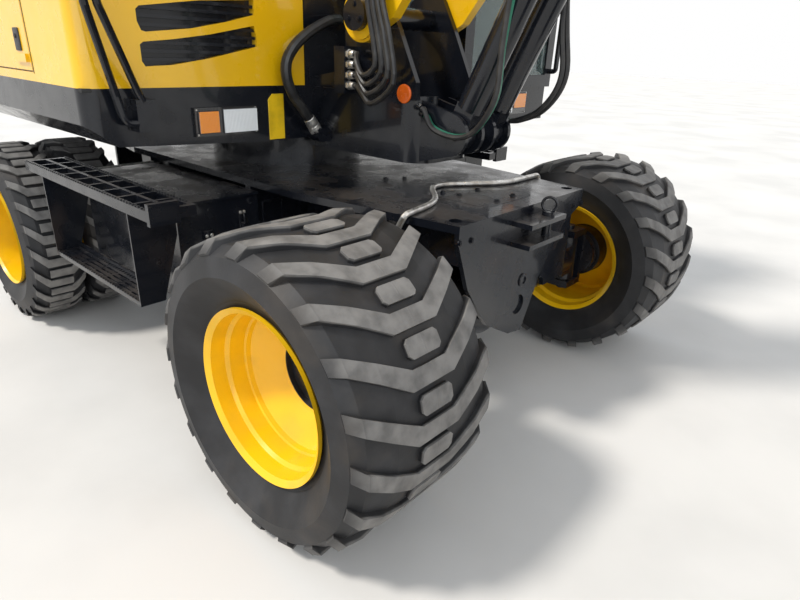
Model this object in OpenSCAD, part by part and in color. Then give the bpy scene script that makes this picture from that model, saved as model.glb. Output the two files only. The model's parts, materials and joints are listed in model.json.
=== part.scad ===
// Wheeled excavator with a mono boom, steered front wheels and twin rear wheels.
// X points forward, Y points left, Z points up, and all sizes are in millimetres.
// The model is drawn round the slewing axis and then moved to the middle of its length.

/* [Undercarriage] */
// Front axle ahead of the slewing axis
front_axle_x = 1420; // [1400:5:1440]
// Rear axle behind the slewing axis
rear_axle_back = 1010; // [990:5:1030]
// Front tyre radius over the lugs
front_tyre_r = 523; // [515:1:530]
// Front tyre width
front_tyre_w = 615; // [600:5:625]
// Front track, between the tyre middles
front_track = 1990; // [1980:5:2010]
// Kingpins each side of the middle
kingpin_y = 780; // [775:1:785]
// Rear tyre radius over the lugs
rear_tyre_r = 495; // [485:1:505]
// Rear tyre width
rear_tyre_w = 283; // [270:1:290]
// Middle of the outer rear tyre
rear_outer_y = 1134; // [1130:1:1145]
// Middle of the inner rear tyre
rear_inner_y = 827; // [820:1:832]
// Height of the chassis deck
deck_z = 968; // [960:1:980]
// Half width of the chassis deck beside the slewing ring
deck_half_w = 600; // [580:5:610]
// Half width of the chassis deck at its ends
deck_end_half_w = 484; // [470:1:500]
// Thickness of the deck plate
deck_t = 30; // [25:1:40]
// Front face of the chassis ahead of the slewing axis
nose_x = 1592; // [1580:1:1600]
// Outer edge of the steps
step_y = 1190; // [1170:5:1200]
// Radius of the slewing ring
ring_r = 410; // [390:5:430]

/* [Upper structure] */
// Half width of the upper structure
upper_half_w = 1250; // [1240:5:1260]
// Underside of the upper frame over the slewing ring
upper_z = 1125; // [1120:1:1135]
// Top of the black base frame and foot of the yellow house
sill_z = 1365; // [1355:1:1375]
// Front face of the right house
house_front_x = 460; // [450:5:470]
// Top of the right house
house_top_z = 2200; // [2150:10:2230]
// Tail swing radius
tail_r = 1750; // [1740:5:1760]
// Front of the cab ahead of the slewing axis
cab_front_x = 930; // [910:5:940]
// Rear of the cab behind the slewing axis
cab_back = 750; // [740:5:755]
// Inner side of the cab
cab_in_y = 370; // [365:1:380]
// Top of the cab
cab_top_z = 3050; // [3000:10:3100]
// Thickness of the cab walls
cab_wall = 55; // [45:1:60]
// Thickness of the house walls
house_wall = 40; // [35:1:45]
// Thickness of the window glass
glass_t = 6; // [5:1:8]

/* [Working arm] */
// Boom foot pin ahead of the slewing axis
boom_foot_x = 852; // [848:1:856]
// Boom foot pin height
boom_foot_z = 1661; // [1656:1:1666]
// Rise of the lower boom section
boom_low_deg = 55; // [54.5:0.1:55.5]
// Length of the lower boom section
boom_low_len = 2200; // [2180:5:2220]
// Rise of the upper boom section
boom_up_deg = -0.3; // [-0.8:0.1:0.2]
// Length of the upper boom section
boom_up_len = 2705; // [2690:5:2720]
// Half width of the boom
boom_half_w = 215; // [205:1:220]
// Hang of the stick below the level
stick_deg = 96; // [95:0.1:97]
// Length of the stick between its pins
stick_len = 2450; // [2440:5:2455]
// Half width of the stick
stick_half_w = 140; // [130:1:145]
// Half width of the bucket
bucket_half_w = 500; // [450:5:550]
// Crank length of the bucket linkage
crank = 300; // [295:1:305]

/* [Fits] */
// Radial clearance of a pin in its eye
pin_gap = 0.5; // [0.3:0.1:1]
// Side gap between an eye and its ears
side_gap = 5; // [4:1:8]
// Gap between a door and its frame
door_gap = 6; // [5:1:8]

/* [Node] */
// Sub-part to draw

/* [Hidden] */
$fn = 64;
yellow = [0.96, 0.71, 0.02];
black = [0.06, 0.065, 0.075];
rubber = [0.09, 0.09, 0.09];
steel = [0.72, 0.73, 0.74];
glass = [0.6, 0.75, 0.8, 0.35];
grey = [0.35, 0.35, 0.36];
amber = [1, 0.45, 0.05];

// A point at a length and an angle from another point, all in the X-Z plane.
function polar(p, len, deg) = p + len * [cos(deg), sin(deg)];
// The angle of the line between two points.
function heading(p, q) = atan2(q[1] - p[1], q[0] - p[0]);
// A point between two points.
function between(p, q, t) = p + (q - p) * t;

front_hub_z = front_tyre_r;
rear_hub_z = rear_tyre_r;
rear_axle_x = -rear_axle_back;
front_wheel_y = front_track / 2;

// Pins of the working arm at rest.
boom_foot = [boom_foot_x, boom_foot_z];
boom_knee = polar(boom_foot, boom_low_len, boom_low_deg);
boom_tip = polar(boom_knee, boom_up_len, boom_up_deg);
bucket_pin = polar(boom_tip, stick_len, -stick_deg);
crank_deg = 9;
rocker_up = 380;
rocker_pin = polar(bucket_pin, rocker_up, 180 - stick_deg + 4);
bucket_crank_pin = polar(bucket_pin, crank, crank_deg);
rocker_crank_pin = polar(rocker_pin, crank, crank_deg);
boom_ram_foot = [1275, 1222];
boom_ram_eye = polar(boom_foot, 1533, boom_low_deg - 11.9);
stick_ram_foot = polar(boom_knee, 640, 54);
stick_ram_eye = polar(boom_tip, 480, 104);
bucket_ram_foot = polar(boom_tip, 340, -20);
eye_r = 75;
front_x = max(bucket_ram_foot[0] + eye_r, rocker_crank_pin[0] + eye_r);
middle_x = (front_x - tail_r) / 2;

module place() {
  translate([-middle_x, 0, 0]) children();
}

// A flat X-Z outline given thickness along Y.
module side(y0, y1) {
  translate([0, y1, 0]) rotate([90, 0, 0]) linear_extrude(y1 - y0) children();
}

// A flat Y-Z outline given thickness along X.
module front(x0, x1) {
  translate([x0, 0, 0]) rotate([90, 0, 90]) linear_extrude(x1 - x0) children();
}

// A flat X-Y outline given thickness along Z.
module flat(z0, z1) {
  translate([0, 0, z0]) linear_extrude(z1 - z0) children();
}

// A box between two corners.
module box(a, b) {
  translate(a) cube(b - a);
}

// A round pin along Y through a point of the X-Z plane.
module pin(p, r, y0, y1) {
  translate([p[0], y1, p[1]]) rotate([90, 0, 0]) cylinder(r = r, h = y1 - y0);
}

// A round bar between two points in space.
module bar(a, b, r) {
  d = b - a;
  translate(a) rotate([0, acos(d[2] / norm(d)), atan2(d[1], d[0])]) cylinder(r = r, h = norm(d));
}

// A bent round bar through a short list of points, with its corners rounded.
module bent_bar(points, r, bend = 60) {
  sweep(rounded(points, bend), r, 12);
}

// Children drawn along +Z are laid along the line from p to q at the side place y.
module along(p, q, y) {
  translate([p[0], y, p[1]]) rotate([0, 90 - heading(p, q), 0]) children();
}

// Two like things, one on each side of the middle.
module both_sides() {
  children();
  mirror([0, 1, 0]) children();
}

// Undercarriage

cradle_x = 1230;
nose_side_z = 800;
box_half_w = 270;
box_low_z = 660;
rear_end_x = -1300;
outrigger_t = 40;
plate_t = 20;
pivot_r = 45;
toolbox_x0 = -350;
toolbox_x1 = 540;
toolbox_z0 = 500;
toolbox_z1 = 925;
toolbox_out_y = 995;

module deck_outline() {
  polygon([
    [rear_end_x, -deck_end_half_w], [-650, -deck_half_w], [800, -deck_half_w],
    [nose_x, -deck_end_half_w], [nose_x, deck_end_half_w], [800, deck_half_w],
    [-650, deck_half_w], [rear_end_x, deck_end_half_w]
  ]);
}

// Contour of the nose plate from the deck down to the axle pivot, seen from the rear.
module nose_outline() {
  top = deck_z - deck_t;
  polygon([
    [-deck_end_half_w, top], [-deck_end_half_w, 900], [-400, 700], [-288, 554], [-235, 496],
    [-60, 400], [50, 382], [126, 546], [173, 641], [330, 830], [deck_end_half_w, 900],
    [deck_end_half_w, top]
  ]);
}

jaw_z = [820, 905];
jaw_t = 20;
jaw_pin_r = 19.5;
jaw_bore_r = 20;
front_jaw_out = 92;
rear_jaw_out = 110;
jaw_pin_y = 70;

module tow_jaw(x, y0, y1, out) {
  for (z = jaw_z) box([min(x, x + out), y0, z], [max(x, x + out), y1, z + jaw_t]);
}

// Steel pin in the front jaw, with a head and a ring to pull it by.
module tow_pin() {
  translate([nose_x + 50, jaw_pin_y, jaw_z[0] - 15]) cylinder(r = jaw_pin_r, h = 130);
  translate([nose_x + 50, jaw_pin_y, jaw_z[1] + jaw_t]) cylinder(r = 27, h = 18);
  translate([nose_x + 50, jaw_pin_y, jaw_z[1] + jaw_t + 45]) rotate([90, 0, 20])
    rotate_extrude() translate([30, 0]) circle(r = 6, $fn = 16);
}

// A rectangle with round corners.
module round_rect(a, b, r) {
  translate([a[0], a[1] + r]) square([b[0] - a[0], b[1] - a[1] - 2 * r]);
  translate([a[0] + r, a[1]]) square([b[0] - a[0] - 2 * r, b[1] - a[1]]);
  for (x = [a[0] + r, b[0] - r], y = [a[1] + r, b[1] - r]) translate([x, y]) circle(r = r);
}

// Joint line of the cover plate in the front of the deck.
module cover_groove() {
  wide = 4;
  flat(deck_z - 3, deck_z + 1) difference() {
    round_rect([1150, -190], [1505, 190], 60);
    round_rect([1150 + wide, -190 + wide], [1505 - wide, 190 - wide], 60 - wide);
  }
}

module chassis_frame() {
  color(black) place() {
    difference() {
      flat(deck_z - deck_t, deck_z) deck_outline();
      for (x = [rear_end_x + 60, nose_x - 60], y = [-430, 430])
        translate([x, y, deck_z - 2 * deck_t]) cylinder(r = 25, h = 3 * deck_t);
      cover_groove();
    }
    box([rear_end_x + 60, -box_half_w, box_low_z], [cradle_x - plate_t, box_half_w, deck_z - deck_t]);
    for (x = [toolbox_x0 + 50, toolbox_x1 - 90])
      box([x, -deck_half_w, box_low_z], [x + outrigger_t, deck_half_w, deck_z - deck_t]);
    difference() {
      front(nose_x - plate_t, nose_x) nose_outline();
      translate([nose_x - 30, 0, front_hub_z]) rotate([0, 90, 0]) cylinder(r = pivot_r + pin_gap, h = 40);
    }
    difference() {
      box([cradle_x - plate_t, -440, 400], [cradle_x, 440, deck_z - deck_t]);
      translate([cradle_x - 30, 0, front_hub_z]) rotate([0, 90, 0]) cylinder(r = pivot_r + pin_gap, h = 40);
    }
    both_sides() {
      box([cradle_x, 420, nose_side_z], [nose_x - plate_t, 440, deck_z - deck_t]);
      box([rear_axle_x - 60, 330, rear_hub_z + 95], [rear_axle_x + 60, 370, deck_z - deck_t]);
    }
    box([rear_end_x, -440, 640], [rear_end_x + plate_t, 440, deck_z - deck_t]);
    front(nose_x - 2 * plate_t, nose_x - plate_t)
      polygon([[100, 690], [250, 570], [250, 540], [440, 540], [440, deck_z - deck_t], [100, deck_z - deck_t]]);
    tow_jaw(nose_x, -130, 150, front_jaw_out);
    tow_pin();
    difference() {
      tow_jaw(rear_end_x, -70, 70, -rear_jaw_out);
      translate([rear_end_x - 60, 0, 700]) cylinder(r = jaw_bore_r, h = 300);
    }
  }
}

ring_seat_h = 60;

module slew_ring() {
  color(black) place() {
    difference() {
      translate([0, 0, deck_z]) cylinder(r = ring_r, h = upper_z - deck_z - side_gap);
      translate([0, 0, upper_z - ring_seat_h - side_gap]) cylinder(r = ring_r - 25, h = ring_seat_h + 10);
    }
  }
}

// A turned body round the Y axis at a hub, from an outline of [width, radius] points.
module turned(x, y, z) {
  translate([x, y, z]) rotate([-90, 0, 0]) rotate_extrude($fn = 96) children();
}

axle_end_y = 725;
kingpin_boss_r = 55;
kingpin_r = 25;
kingpin_boss_h = 120;

module front_axle() {
  color(black) place() {
    turned(front_axle_x, 0, front_hub_z)
      polygon([[0, -700], [80, -700], [80, -330], [115, -250], [150, -140], [150, 140], [115, 250],
        [80, 330], [80, 700], [0, 700]]);
    translate([cradle_x - plate_t, 0, front_hub_z]) rotate([0, 90, 0])
      cylinder(r = pivot_r, h = nose_x - cradle_x + plate_t - 12);
    both_sides() difference() {
      union() {
        translate([front_axle_x, kingpin_y, front_hub_z - kingpin_boss_h])
          cylinder(r = kingpin_boss_r, h = 2 * kingpin_boss_h);
        box([front_axle_x - 50, 660, front_hub_z - 80], [front_axle_x + 50, kingpin_y, front_hub_z + 80]);
      }
      translate([front_axle_x, kingpin_y, front_hub_z - 200]) cylinder(r = kingpin_r + pin_gap, h = 400);
    }
    bar([front_axle_x - 130, -260, front_hub_z + 60], [front_axle_x - 130, 260, front_hub_z + 60], 38);
    both_sides() {
      bar([front_axle_x - 130, 250, front_hub_z + 60], [front_axle_x - 130, 420, front_hub_z + 60], 18);
      box([front_axle_x - 160, 200, front_hub_z], [front_axle_x - 60, 240, front_hub_z + 70]);
    }
  }
}

module knuckle(way) {
  color(black) place() scale([1, 1, 1]) translate([front_axle_x, 0, front_hub_z]) {
    if (way > 0) knuckle_body();
    else mirror([0, 1, 0]) knuckle_body();
  }
}

yoke_t = 35;
web_y = 860;
bearing_r = 120;
spindle_end_y = 905;

module knuckle_body() {
  for (s = [-1, 1]) {
    z0 = s * (kingpin_boss_h + side_gap);
    z1 = s * (kingpin_boss_h + side_gap + yoke_t);
    box([-60, kingpin_y - 60, min(z0, z1)], [60, web_y, max(z0, z1)]);
  }
  box([-60, web_y - 20, -kingpin_boss_h - side_gap - yoke_t], [60, web_y + 10, kingpin_boss_h + side_gap + yoke_t]);
  for (s = [-1, 1])
    translate([0, kingpin_y, s > 0 ? 60 : -60 - kingpin_boss_h]) cylinder(r = kingpin_r, h = kingpin_boss_h);
  translate([0, spindle_end_y, 0]) rotate([90, 0, 0]) cylinder(r = bearing_r, h = spindle_end_y - web_y);
  translate([0, spindle_end_y + spindle_len, 0]) rotate([90, 0, 0]) cylinder(r = spindle_r, h = spindle_len + 10);
}

module knuckle_right() { knuckle(-1); }
module knuckle_left() { knuckle(1); }

// Rim section: flanges, barrel and a disc inboard, as [radius, width] points.
flange_r = 296;
seat_r = 284;
barrel_r = 276;
front_flange_w = 258;
rim_lip = 14;

spindle_r = 45;
spindle_len = 60;

module rim_section(half_w, seat, flange, disc_w, disc_t, hub_r, hub0, hub1) {
  polygon([
    [barrel_r, -half_w + rim_lip], [flange, -half_w], [flange, -half_w + rim_lip], [seat, -half_w + 2 * rim_lip],
    [seat, half_w - 2 * rim_lip], [flange, half_w - rim_lip], [flange, half_w], [barrel_r, half_w - rim_lip],
    [barrel_r, disc_w + disc_t], [hub_r, disc_w + disc_t], [hub_r, hub1], [0, hub1], [0, hub0 + spindle_len],
    [spindle_r + pin_gap, hub0 + spindle_len], [spindle_r + pin_gap, hub0], [hub_r, hub0], [hub_r, disc_w], [barrel_r, disc_w]
  ]);
}

hub_face_gap = 10;
hub_r = 135;
hub_hole_r = hub_r + 2;
well_r = barrel_r - 20;
well_edge_w = front_flange_w - 72;
dish_edge_w = front_flange_w - 136;
hub_hole_w = front_flange_w - 223;

// Front rim: two seats, a well between them, and a dish that runs in to the hub.
module front_rim() {
  hub0 = spindle_end_y + hub_face_gap - front_wheel_y;
  w = front_flange_w;
  turned(0, 0, 0) polygon([
    [barrel_r, -w + rim_lip], [flange_r, -w], [flange_r, rim_lip - w], [seat_r, 2 * rim_lip - w],
    [seat_r, w - 2 * rim_lip], [flange_r, w - rim_lip], [flange_r, w], [barrel_r, w - rim_lip],
    [barrel_r - 3, well_edge_w + 6], [well_r + 6, well_edge_w - 6], [well_r, dish_edge_w + 4], [well_r - 8, dish_edge_w],
    [well_r - 12, dish_edge_w - 16], [hub_hole_r + 14, hub_hole_w + 5], [hub_hole_r, hub_hole_w], [hub_hole_r, hub_hole_w - 20],
    [0, hub_hole_w - 20], [0, hub0 + spindle_len], [spindle_r + pin_gap, hub0 + spindle_len], [spindle_r + pin_gap, hub0],
    [hub_r, hub0], [hub_r, hub_hole_w - 32], [well_r - 12, dish_edge_w - 36], [well_r, dish_edge_w - 60],
    [well_r, 6 - well_edge_w], [barrel_r - 3, -well_edge_w - 6]
  ]);
}

module rim_front_left() {
  color(yellow) place() translate([front_axle_x, front_wheel_y, front_hub_z]) front_rim();
}

module rim_front_right() {
  color(yellow) place() mirror([0, 1, 0]) translate([front_axle_x, front_wheel_y, front_hub_z]) front_rim();
}

// Tyre section from bead to bead: a crowned tread, round shoulders and bulged side walls.
module tyre_section(r, w, bead_r, bead_w, lug) {
  shoulder = w * 0.42;
  belly_r = bead_r + (r - bead_r) * 0.5;
  polygon([
    [bead_r, -bead_w], [bead_r + 30, -bead_w - 12], [belly_r, -w / 2], [r - 60, -w / 2 + 12],
    [r - lug - 16, -shoulder], [r - lug, -shoulder * 0.6], [r - lug, shoulder * 0.6], [r - lug - 16, shoulder],
    [r - 60, w / 2 - 12], [belly_r, w / 2], [bead_r + 30, bead_w + 12], [bead_r, bead_w],
    [bead_r, bead_w - 40], [bead_r + 25, bead_w - 40], [belly_r, w / 2 - 40], [r - 65, w / 2 - 60],
    [r - 65, -w / 2 + 60], [belly_r, -w / 2 + 40], [bead_r + 25, -bead_w + 40], [bead_r, -bead_w + 40]
  ]);
}

front_bead_w = front_flange_w - 2 * rim_lip;

// Lugs are prisms that stand on the hub's radius, cut to the crown of the tread and fused to the carcass.
tyre_lug_h = 17;
lug_root = 80;

module crown(r, w) {
  polygon([[r - lug_root + 2, -w / 2 + 25], [r - 50, -w / 2 + 8], [r - 12, -w * 0.44], [r, -w * 0.3], [r, w * 0.3], [r - 12, w * 0.44],
    [r - 50, w / 2 - 8], [r - lug_root + 2, w / 2 - 25]]);
}

// A lug's outline has X across the tyre and Y round it.
module lug(r, deg) {
  rotate([0, -deg, 0]) translate([r - lug_root, 0, 0]) rotate([0, 90, 0]) rotate([0, 0, 90]) linear_extrude(lug_root + 20) children();
}

chevrons = 20;
chevron_arm_deg = 15;
chevron_band = 56;
chevron_mid = 88;

// Chevron: two arms that run forward to the shoulders from a straight middle.
module chevron_outline() {
  w = front_tyre_w;
  rise = front_tyre_r * sin(chevron_arm_deg);
  low = -rise / 2 - chevron_band / 2;
  high = low + chevron_band;
  polygon([
    [-w / 2, low + rise], [-chevron_mid, low], [chevron_mid, low], [w / 2, low + rise],
    [w / 2, high + rise - 6], [chevron_mid - 18, high], [18 - chevron_mid, high], [-w / 2, high + rise - 6]
  ]);
}

// Small block half way between two chevrons, with its corners cut off.
module tread_block_outline() {
  polygon([[-66, -18], [-54, -30], [54, -30], [66, -18], [66, 18], [54, 30], [-54, 30], [-66, 18]]);
}

module front_tyre() {
  pitch = 360 / chevrons;
  turned(0, 0, 0) tyre_section(front_tyre_r, front_tyre_w, seat_r, front_bead_w, tyre_lug_h);
  intersection() {
    turned(0, 0, 0) crown(front_tyre_r, front_tyre_w);
    for (i = [0 : chevrons - 1]) {
      lug(front_tyre_r, (i - 0.33) * pitch) chevron_outline();
      lug(front_tyre_r, (i - 0.24) * pitch) tread_block_outline();
    }
  }
}

module tyre_front_left() {
  color(rubber) place() translate([front_axle_x, front_wheel_y, front_hub_z]) front_tyre();
}

module tyre_front_right() {
  color(rubber) place() translate([front_axle_x, -front_wheel_y, front_hub_z]) front_tyre();
}

rear_flange_w = 128;
rear_bead_w = rear_flange_w - 2 * rim_lip;
rear_flange_r = 286;
rear_seat_r = 278;
rear_disc_y = (rear_outer_y + rear_inner_y) / 2;

// The two rims of a twin wheel meet at their discs, on one hub.
module rear_rims() {
  disc_gap = 30;
  translate([0, rear_outer_y, 0]) turned(0, 0, 0)
    rim_section(rear_flange_w, rear_seat_r, rear_flange_r, rear_disc_y - rear_outer_y, 14, hub_r,
      rear_disc_y - rear_outer_y - disc_gap, -20);
  translate([0, rear_inner_y, 0]) turned(0, 0, 0) polygon([
    [barrel_r - 8, -rear_flange_w + rim_lip], [rear_flange_r, -rear_flange_w], [rear_flange_r, -rear_flange_w + rim_lip],
    [rear_seat_r, -rear_flange_w + 2 * rim_lip], [rear_seat_r, rear_flange_w - 2 * rim_lip],
    [rear_flange_r, rear_flange_w - rim_lip], [rear_flange_r, rear_flange_w], [barrel_r - 8, rear_flange_w],
    [barrel_r - 8, rear_disc_y - rear_inner_y], [hub_r - 1, rear_disc_y - rear_inner_y],
    [hub_r - 1, rear_disc_y - rear_inner_y - 14], [barrel_r - 8, rear_disc_y - rear_inner_y - 14]
  ]);
}

module rims_rear_left() {
  color(yellow) place() translate([rear_axle_x, 0, rear_hub_z]) rear_rims();
}

module rims_rear_right() {
  color(yellow) place() mirror([0, 1, 0]) translate([rear_axle_x, 0, rear_hub_z]) rear_rims();
}

rear_lugs = 24;
rear_lug_h = 16;
rear_arm_deg = 10.5;
rear_band = 44;

// Arm lug of one half: it runs from the shoulder to a tip just past the middle.
module arm_outline() {
  w = rear_tyre_w;
  rise = rear_tyre_r * sin(rear_arm_deg);
  h = rear_band / 2;
  polygon([[-w / 2, rise - h], [-w * 0.22, -h], [w * 0.2, -h], [w * 0.2, h], [10 - w * 0.22, h], [-w / 2, rise + h - 8]]);
}

module rear_tyre() {
  pitch = 360 / rear_lugs;
  turned(0, 0, 0) tyre_section(rear_tyre_r, rear_tyre_w, rear_seat_r, rear_bead_w, rear_lug_h);
  intersection() {
    turned(0, 0, 0) crown(rear_tyre_r, rear_tyre_w);
    for (i = [0 : rear_lugs - 1]) {
      lug(rear_tyre_r, i * pitch) arm_outline();
      lug(rear_tyre_r, (i + 0.5) * pitch) mirror([1, 0]) arm_outline();
    }
  }
}

module rear_tyres() {
  for (y = [rear_inner_y, rear_outer_y]) translate([0, y, 0]) rear_tyre();
}

module tyres_rear_left() {
  color(rubber) place() translate([rear_axle_x, 0, rear_hub_z]) rear_tyres();
}

module tyres_rear_right() {
  color(rubber) place() mirror([0, 1, 0]) translate([rear_axle_x, 0, rear_hub_z]) rear_tyres();
}

rear_axle_end_y = rear_disc_y - 42;

module rear_axle() {
  color(black) place() {
    turned(rear_axle_x, 0, rear_hub_z)
      polygon([[0, -rear_axle_end_y], [95, -rear_axle_end_y], [95, -260], [150, -140], [150, 140], [95, 260],
        [95, rear_axle_end_y], [0, rear_axle_end_y]]);
    turned(rear_axle_x, 0, rear_hub_z)
      polygon([[0, -rear_axle_end_y - spindle_len], [spindle_r, -rear_axle_end_y - spindle_len],
        [spindle_r, rear_axle_end_y + spindle_len], [0, rear_axle_end_y + spindle_len]]);
    bar([rear_axle_x + 120, 0, rear_hub_z], [cradle_x - plate_t - 1, 0, front_hub_z], 35);
    box([rear_axle_x + 120, -110, rear_hub_z - 60], [rear_axle_x + 330, 110, rear_hub_z + 100]);
  }
}

top_tread_z = 963;
tread_rail = 42;
tread_in_y = 1000;
low_tread_z = 550;
low_tread_in_y = 1085;

// A tread with rows of long openings between its rims.
module tread(x0, x1, y_in, z, t, rows, slots) {
  rim = 22;
  web = 16;
  long = (x1 - x0 - 2 * rim + web) / slots;
  wide = (step_y - y_in - 2 * rim + web) / rows;
  difference() {
    box([x0, y_in, z - t], [x1, step_y, z]);
    for (i = [0 : slots - 1], k = [0 : rows - 1])
      box([x0 + rim + i * long, y_in + rim + k * wide, z - t - 1], [x0 + rim + (i + 1) * long - web, y_in + rim + (k + 1) * wide - web, z + 1]);
  }
}

module steps() {
  cheek = [[tread_in_y, top_tread_z - tread_rail], [tread_in_y, 800], [low_tread_in_y, 530], [step_y, 530],
    [step_y, top_tread_z - tread_rail]];
  color(black) place() both_sides() {
    tread(-560, 720, tread_in_y, top_tread_z, tread_rail, 2, 9);
    box([700, 1070, top_tread_z - tread_rail - 15], [724, step_y, top_tread_z + 27]);
    for (x = [toolbox_x0, toolbox_x1 - 8]) front(x, x + 8) polygon(cheek);
    tread(toolbox_x0 + 8, toolbox_x1 - 8, low_tread_in_y, low_tread_z, 20, 3, 7);
    box([toolbox_x0 + 8, low_tread_in_y - 8, low_tread_z - 20], [toolbox_x1 - 8, low_tread_in_y, low_tread_z + 25]);
  }
}

module toolboxes() {
  color(black) place() both_sides() {
    box([toolbox_x0, deck_half_w, toolbox_z0], [toolbox_x1, toolbox_out_y, toolbox_z1 - 12]);
    box([toolbox_x0 - 10, deck_half_w, toolbox_z1 - 12], [toolbox_x1 + 10, tread_in_y, toolbox_z1]);
  }
}

pipe_r = 12;

// Guard pipe: it lies on the deck and turns down over both edges.
module deck_pipe() {
  z = deck_z + pipe_r;
  color(steel) place()
    bent_bar([[1352, -deck_half_w + 60, z - 55], [1385, -deck_half_w + 55, z], [1334, -287, z], [1104, -60, z],
      [1311, 250, z], [1309, deck_half_w - 40, z], [1314, deck_half_w - 38, z - 52]], pipe_r, [25, 110, 120, 90, 30]);
}

// Upper structure

base_corner = 60;
tower_out_y = 200;
tower_in_y = tower_out_y - 25;
tower_floor_z = 1085;
tower_front_x = 1150;
tower_corner = 110;
tower_rim_z = 1360;
tower_wall = 20;
base_rear_x = -1460;
cab_base_x = 900;
cab_base_z = 1180;

module base_outline() {
  polygon([
    [-upper_half_w, sill_z], [-upper_half_w, 1235], [-1145, 1155], [-500, upper_z], [500, upper_z],
    [1145, 1155], [upper_half_w, 1235], [upper_half_w, sill_z]
  ]);
}

// Cheek that carries the boom foot pin, and the lower plate behind it.
module cheek_outline() {
  polygon([
    [697, tower_floor_z], [1040, tower_floor_z], [1040, tower_rim_z - 20], [1122, tower_rim_z - 15], [1116, 1414], [1006, 1622],
    [930, 1750], [860, 1775], [780, 1765], [740, 1735], [697, 1600]
  ]);
}

module rear_cheek_outline() {
  polygon([[house_front_x - 20, 1135], [720, 1135], [720, 1450], [house_front_x - 20, 1400]]);
}

// Plan of the tower's shell, with round front corners.
module tower_plan(wall) {
  x1 = tower_front_x - wall;
  y1 = tower_out_y - wall;
  r = tower_corner - wall;
  translate([house_front_x - 20, -y1]) square([x1 - house_front_x + 20 - r, 2 * y1]);
  translate([house_front_x, -y1 + r]) square([x1 - house_front_x, 2 * (y1 - r)]);
  for (s = [-1, 1]) translate([x1 - r, s * (y1 - r)]) circle(r = r);
}

module tower_shell() {
  flat(tower_floor_z, tower_floor_z + 25) tower_plan(0);
  difference() {
    flat(tower_floor_z, tower_rim_z) tower_plan(0);
    flat(tower_floor_z - 1, tower_rim_z + 1) tower_plan(tower_wall);
    box([tower_corner + 700, -90, 1250], [tower_front_x + 1, 90, tower_rim_z + 1]);
  }
}

// Lug for the foot of a boom ram, rooted in the shell.
module ram_lug_outline() {
  r = 85;
  translate(boom_ram_foot) circle(r = r);
  polygon([[tower_front_x - 45, tower_floor_z + 5], [tower_front_x - 45, tower_rim_z - 10],
    polar(boom_ram_foot, r, 75), polar(boom_ram_foot, r, -75)]);
}

// Bites a round vertical corner out of the right front of the house and base.
module corner_bite(z0, z1) {
  flat(z0, z1) difference() {
    translate([house_front_x - base_corner, -upper_half_w - 1]) square(base_corner + 1);
    translate([house_front_x - base_corner, -upper_half_w + base_corner]) circle(r = base_corner);
  }
}

// Hose fittings of the tower: an elbow, a valve block with four stubs, and stubs on the shell's corners.
elbow = [house_front_x + 70, -220, 1145];
big_hose_r = 24;
valve_x = 705;
valve_y = -275;
valve_pitch = 42;
valve_top_z = 1510;
stub_x = 812;

module tower_fittings() {
  translate([house_front_x - 5, elbow[1], elbow[2]]) rotate([0, 90, 0]) cylinder(r = 25, h = elbow[0] - house_front_x + 5);
  translate(elbow - [32, 0, 0]) rotate([0, 90, 0]) cylinder(r = 32, h = 64);
  bar(elbow, big_hose_start - big_hose_way, 27);
  box([valve_x, valve_y, 1350], [valve_x + 65, -tower_in_y - 5, 1540]);
  for (i = [0 : 3])
    translate([valve_x + 60, -255, valve_top_z - i * valve_pitch]) rotate([0, 90, 0]) cylinder(r = 15, h = stub_x - valve_x - 61);
  for (s = [-1, 1], k = [0, 1]) {
    bar([1098, s * (ram_hose_y(k) - 26), ram_hose_z + 28 * k], ram_hose_start(s, k) - 9 * ram_hose_way(s), 11);
    bar(ram_hose_start(s, k) - 18 * ram_hose_way(s), ram_hose_start(s, k) - 3 * ram_hose_way(s), 13);
  }
}

// Upright hinge: lugs of the frame above and below a leaf knuckle, which turns on their pin.
hinge_r = 14;
hinge_pin_r = 7;
lug_h = 30;

module hinge_lugs(x, y, z, way) {
  for (s = [-1, 1]) {
    z0 = z + (s > 0 ? lug_h / 2 + 2 : -lug_h * 1.5 - 2);
    translate([x, y, z0]) cylinder(r = hinge_r, h = lug_h);
    box([x - hinge_r - 60, min(y, y - way * (hinge_r + 2)), z0], [x, max(y, y - way * (hinge_r + 2)), z0 + lug_h]);
  }
  translate([x, y, z - lug_h]) cylinder(r = hinge_pin_r, h = 2 * lug_h);
}

module hinge_knuckle(x, y, z, way) {
  difference() {
    union() {
      translate([x, y, z - lug_h / 2]) cylinder(r = hinge_r, h = lug_h);
      box([x, min(y, y - way * (hinge_r + 1)), z - lug_h / 2], [x + 50, max(y, y - way * (hinge_r + 1)), z + lug_h / 2]);
    }
    translate([x, y, z - lug_h]) cylinder(r = hinge_pin_r + pin_gap, h = 2 * lug_h);
  }
}

bulkhead_z = 1900;

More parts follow.
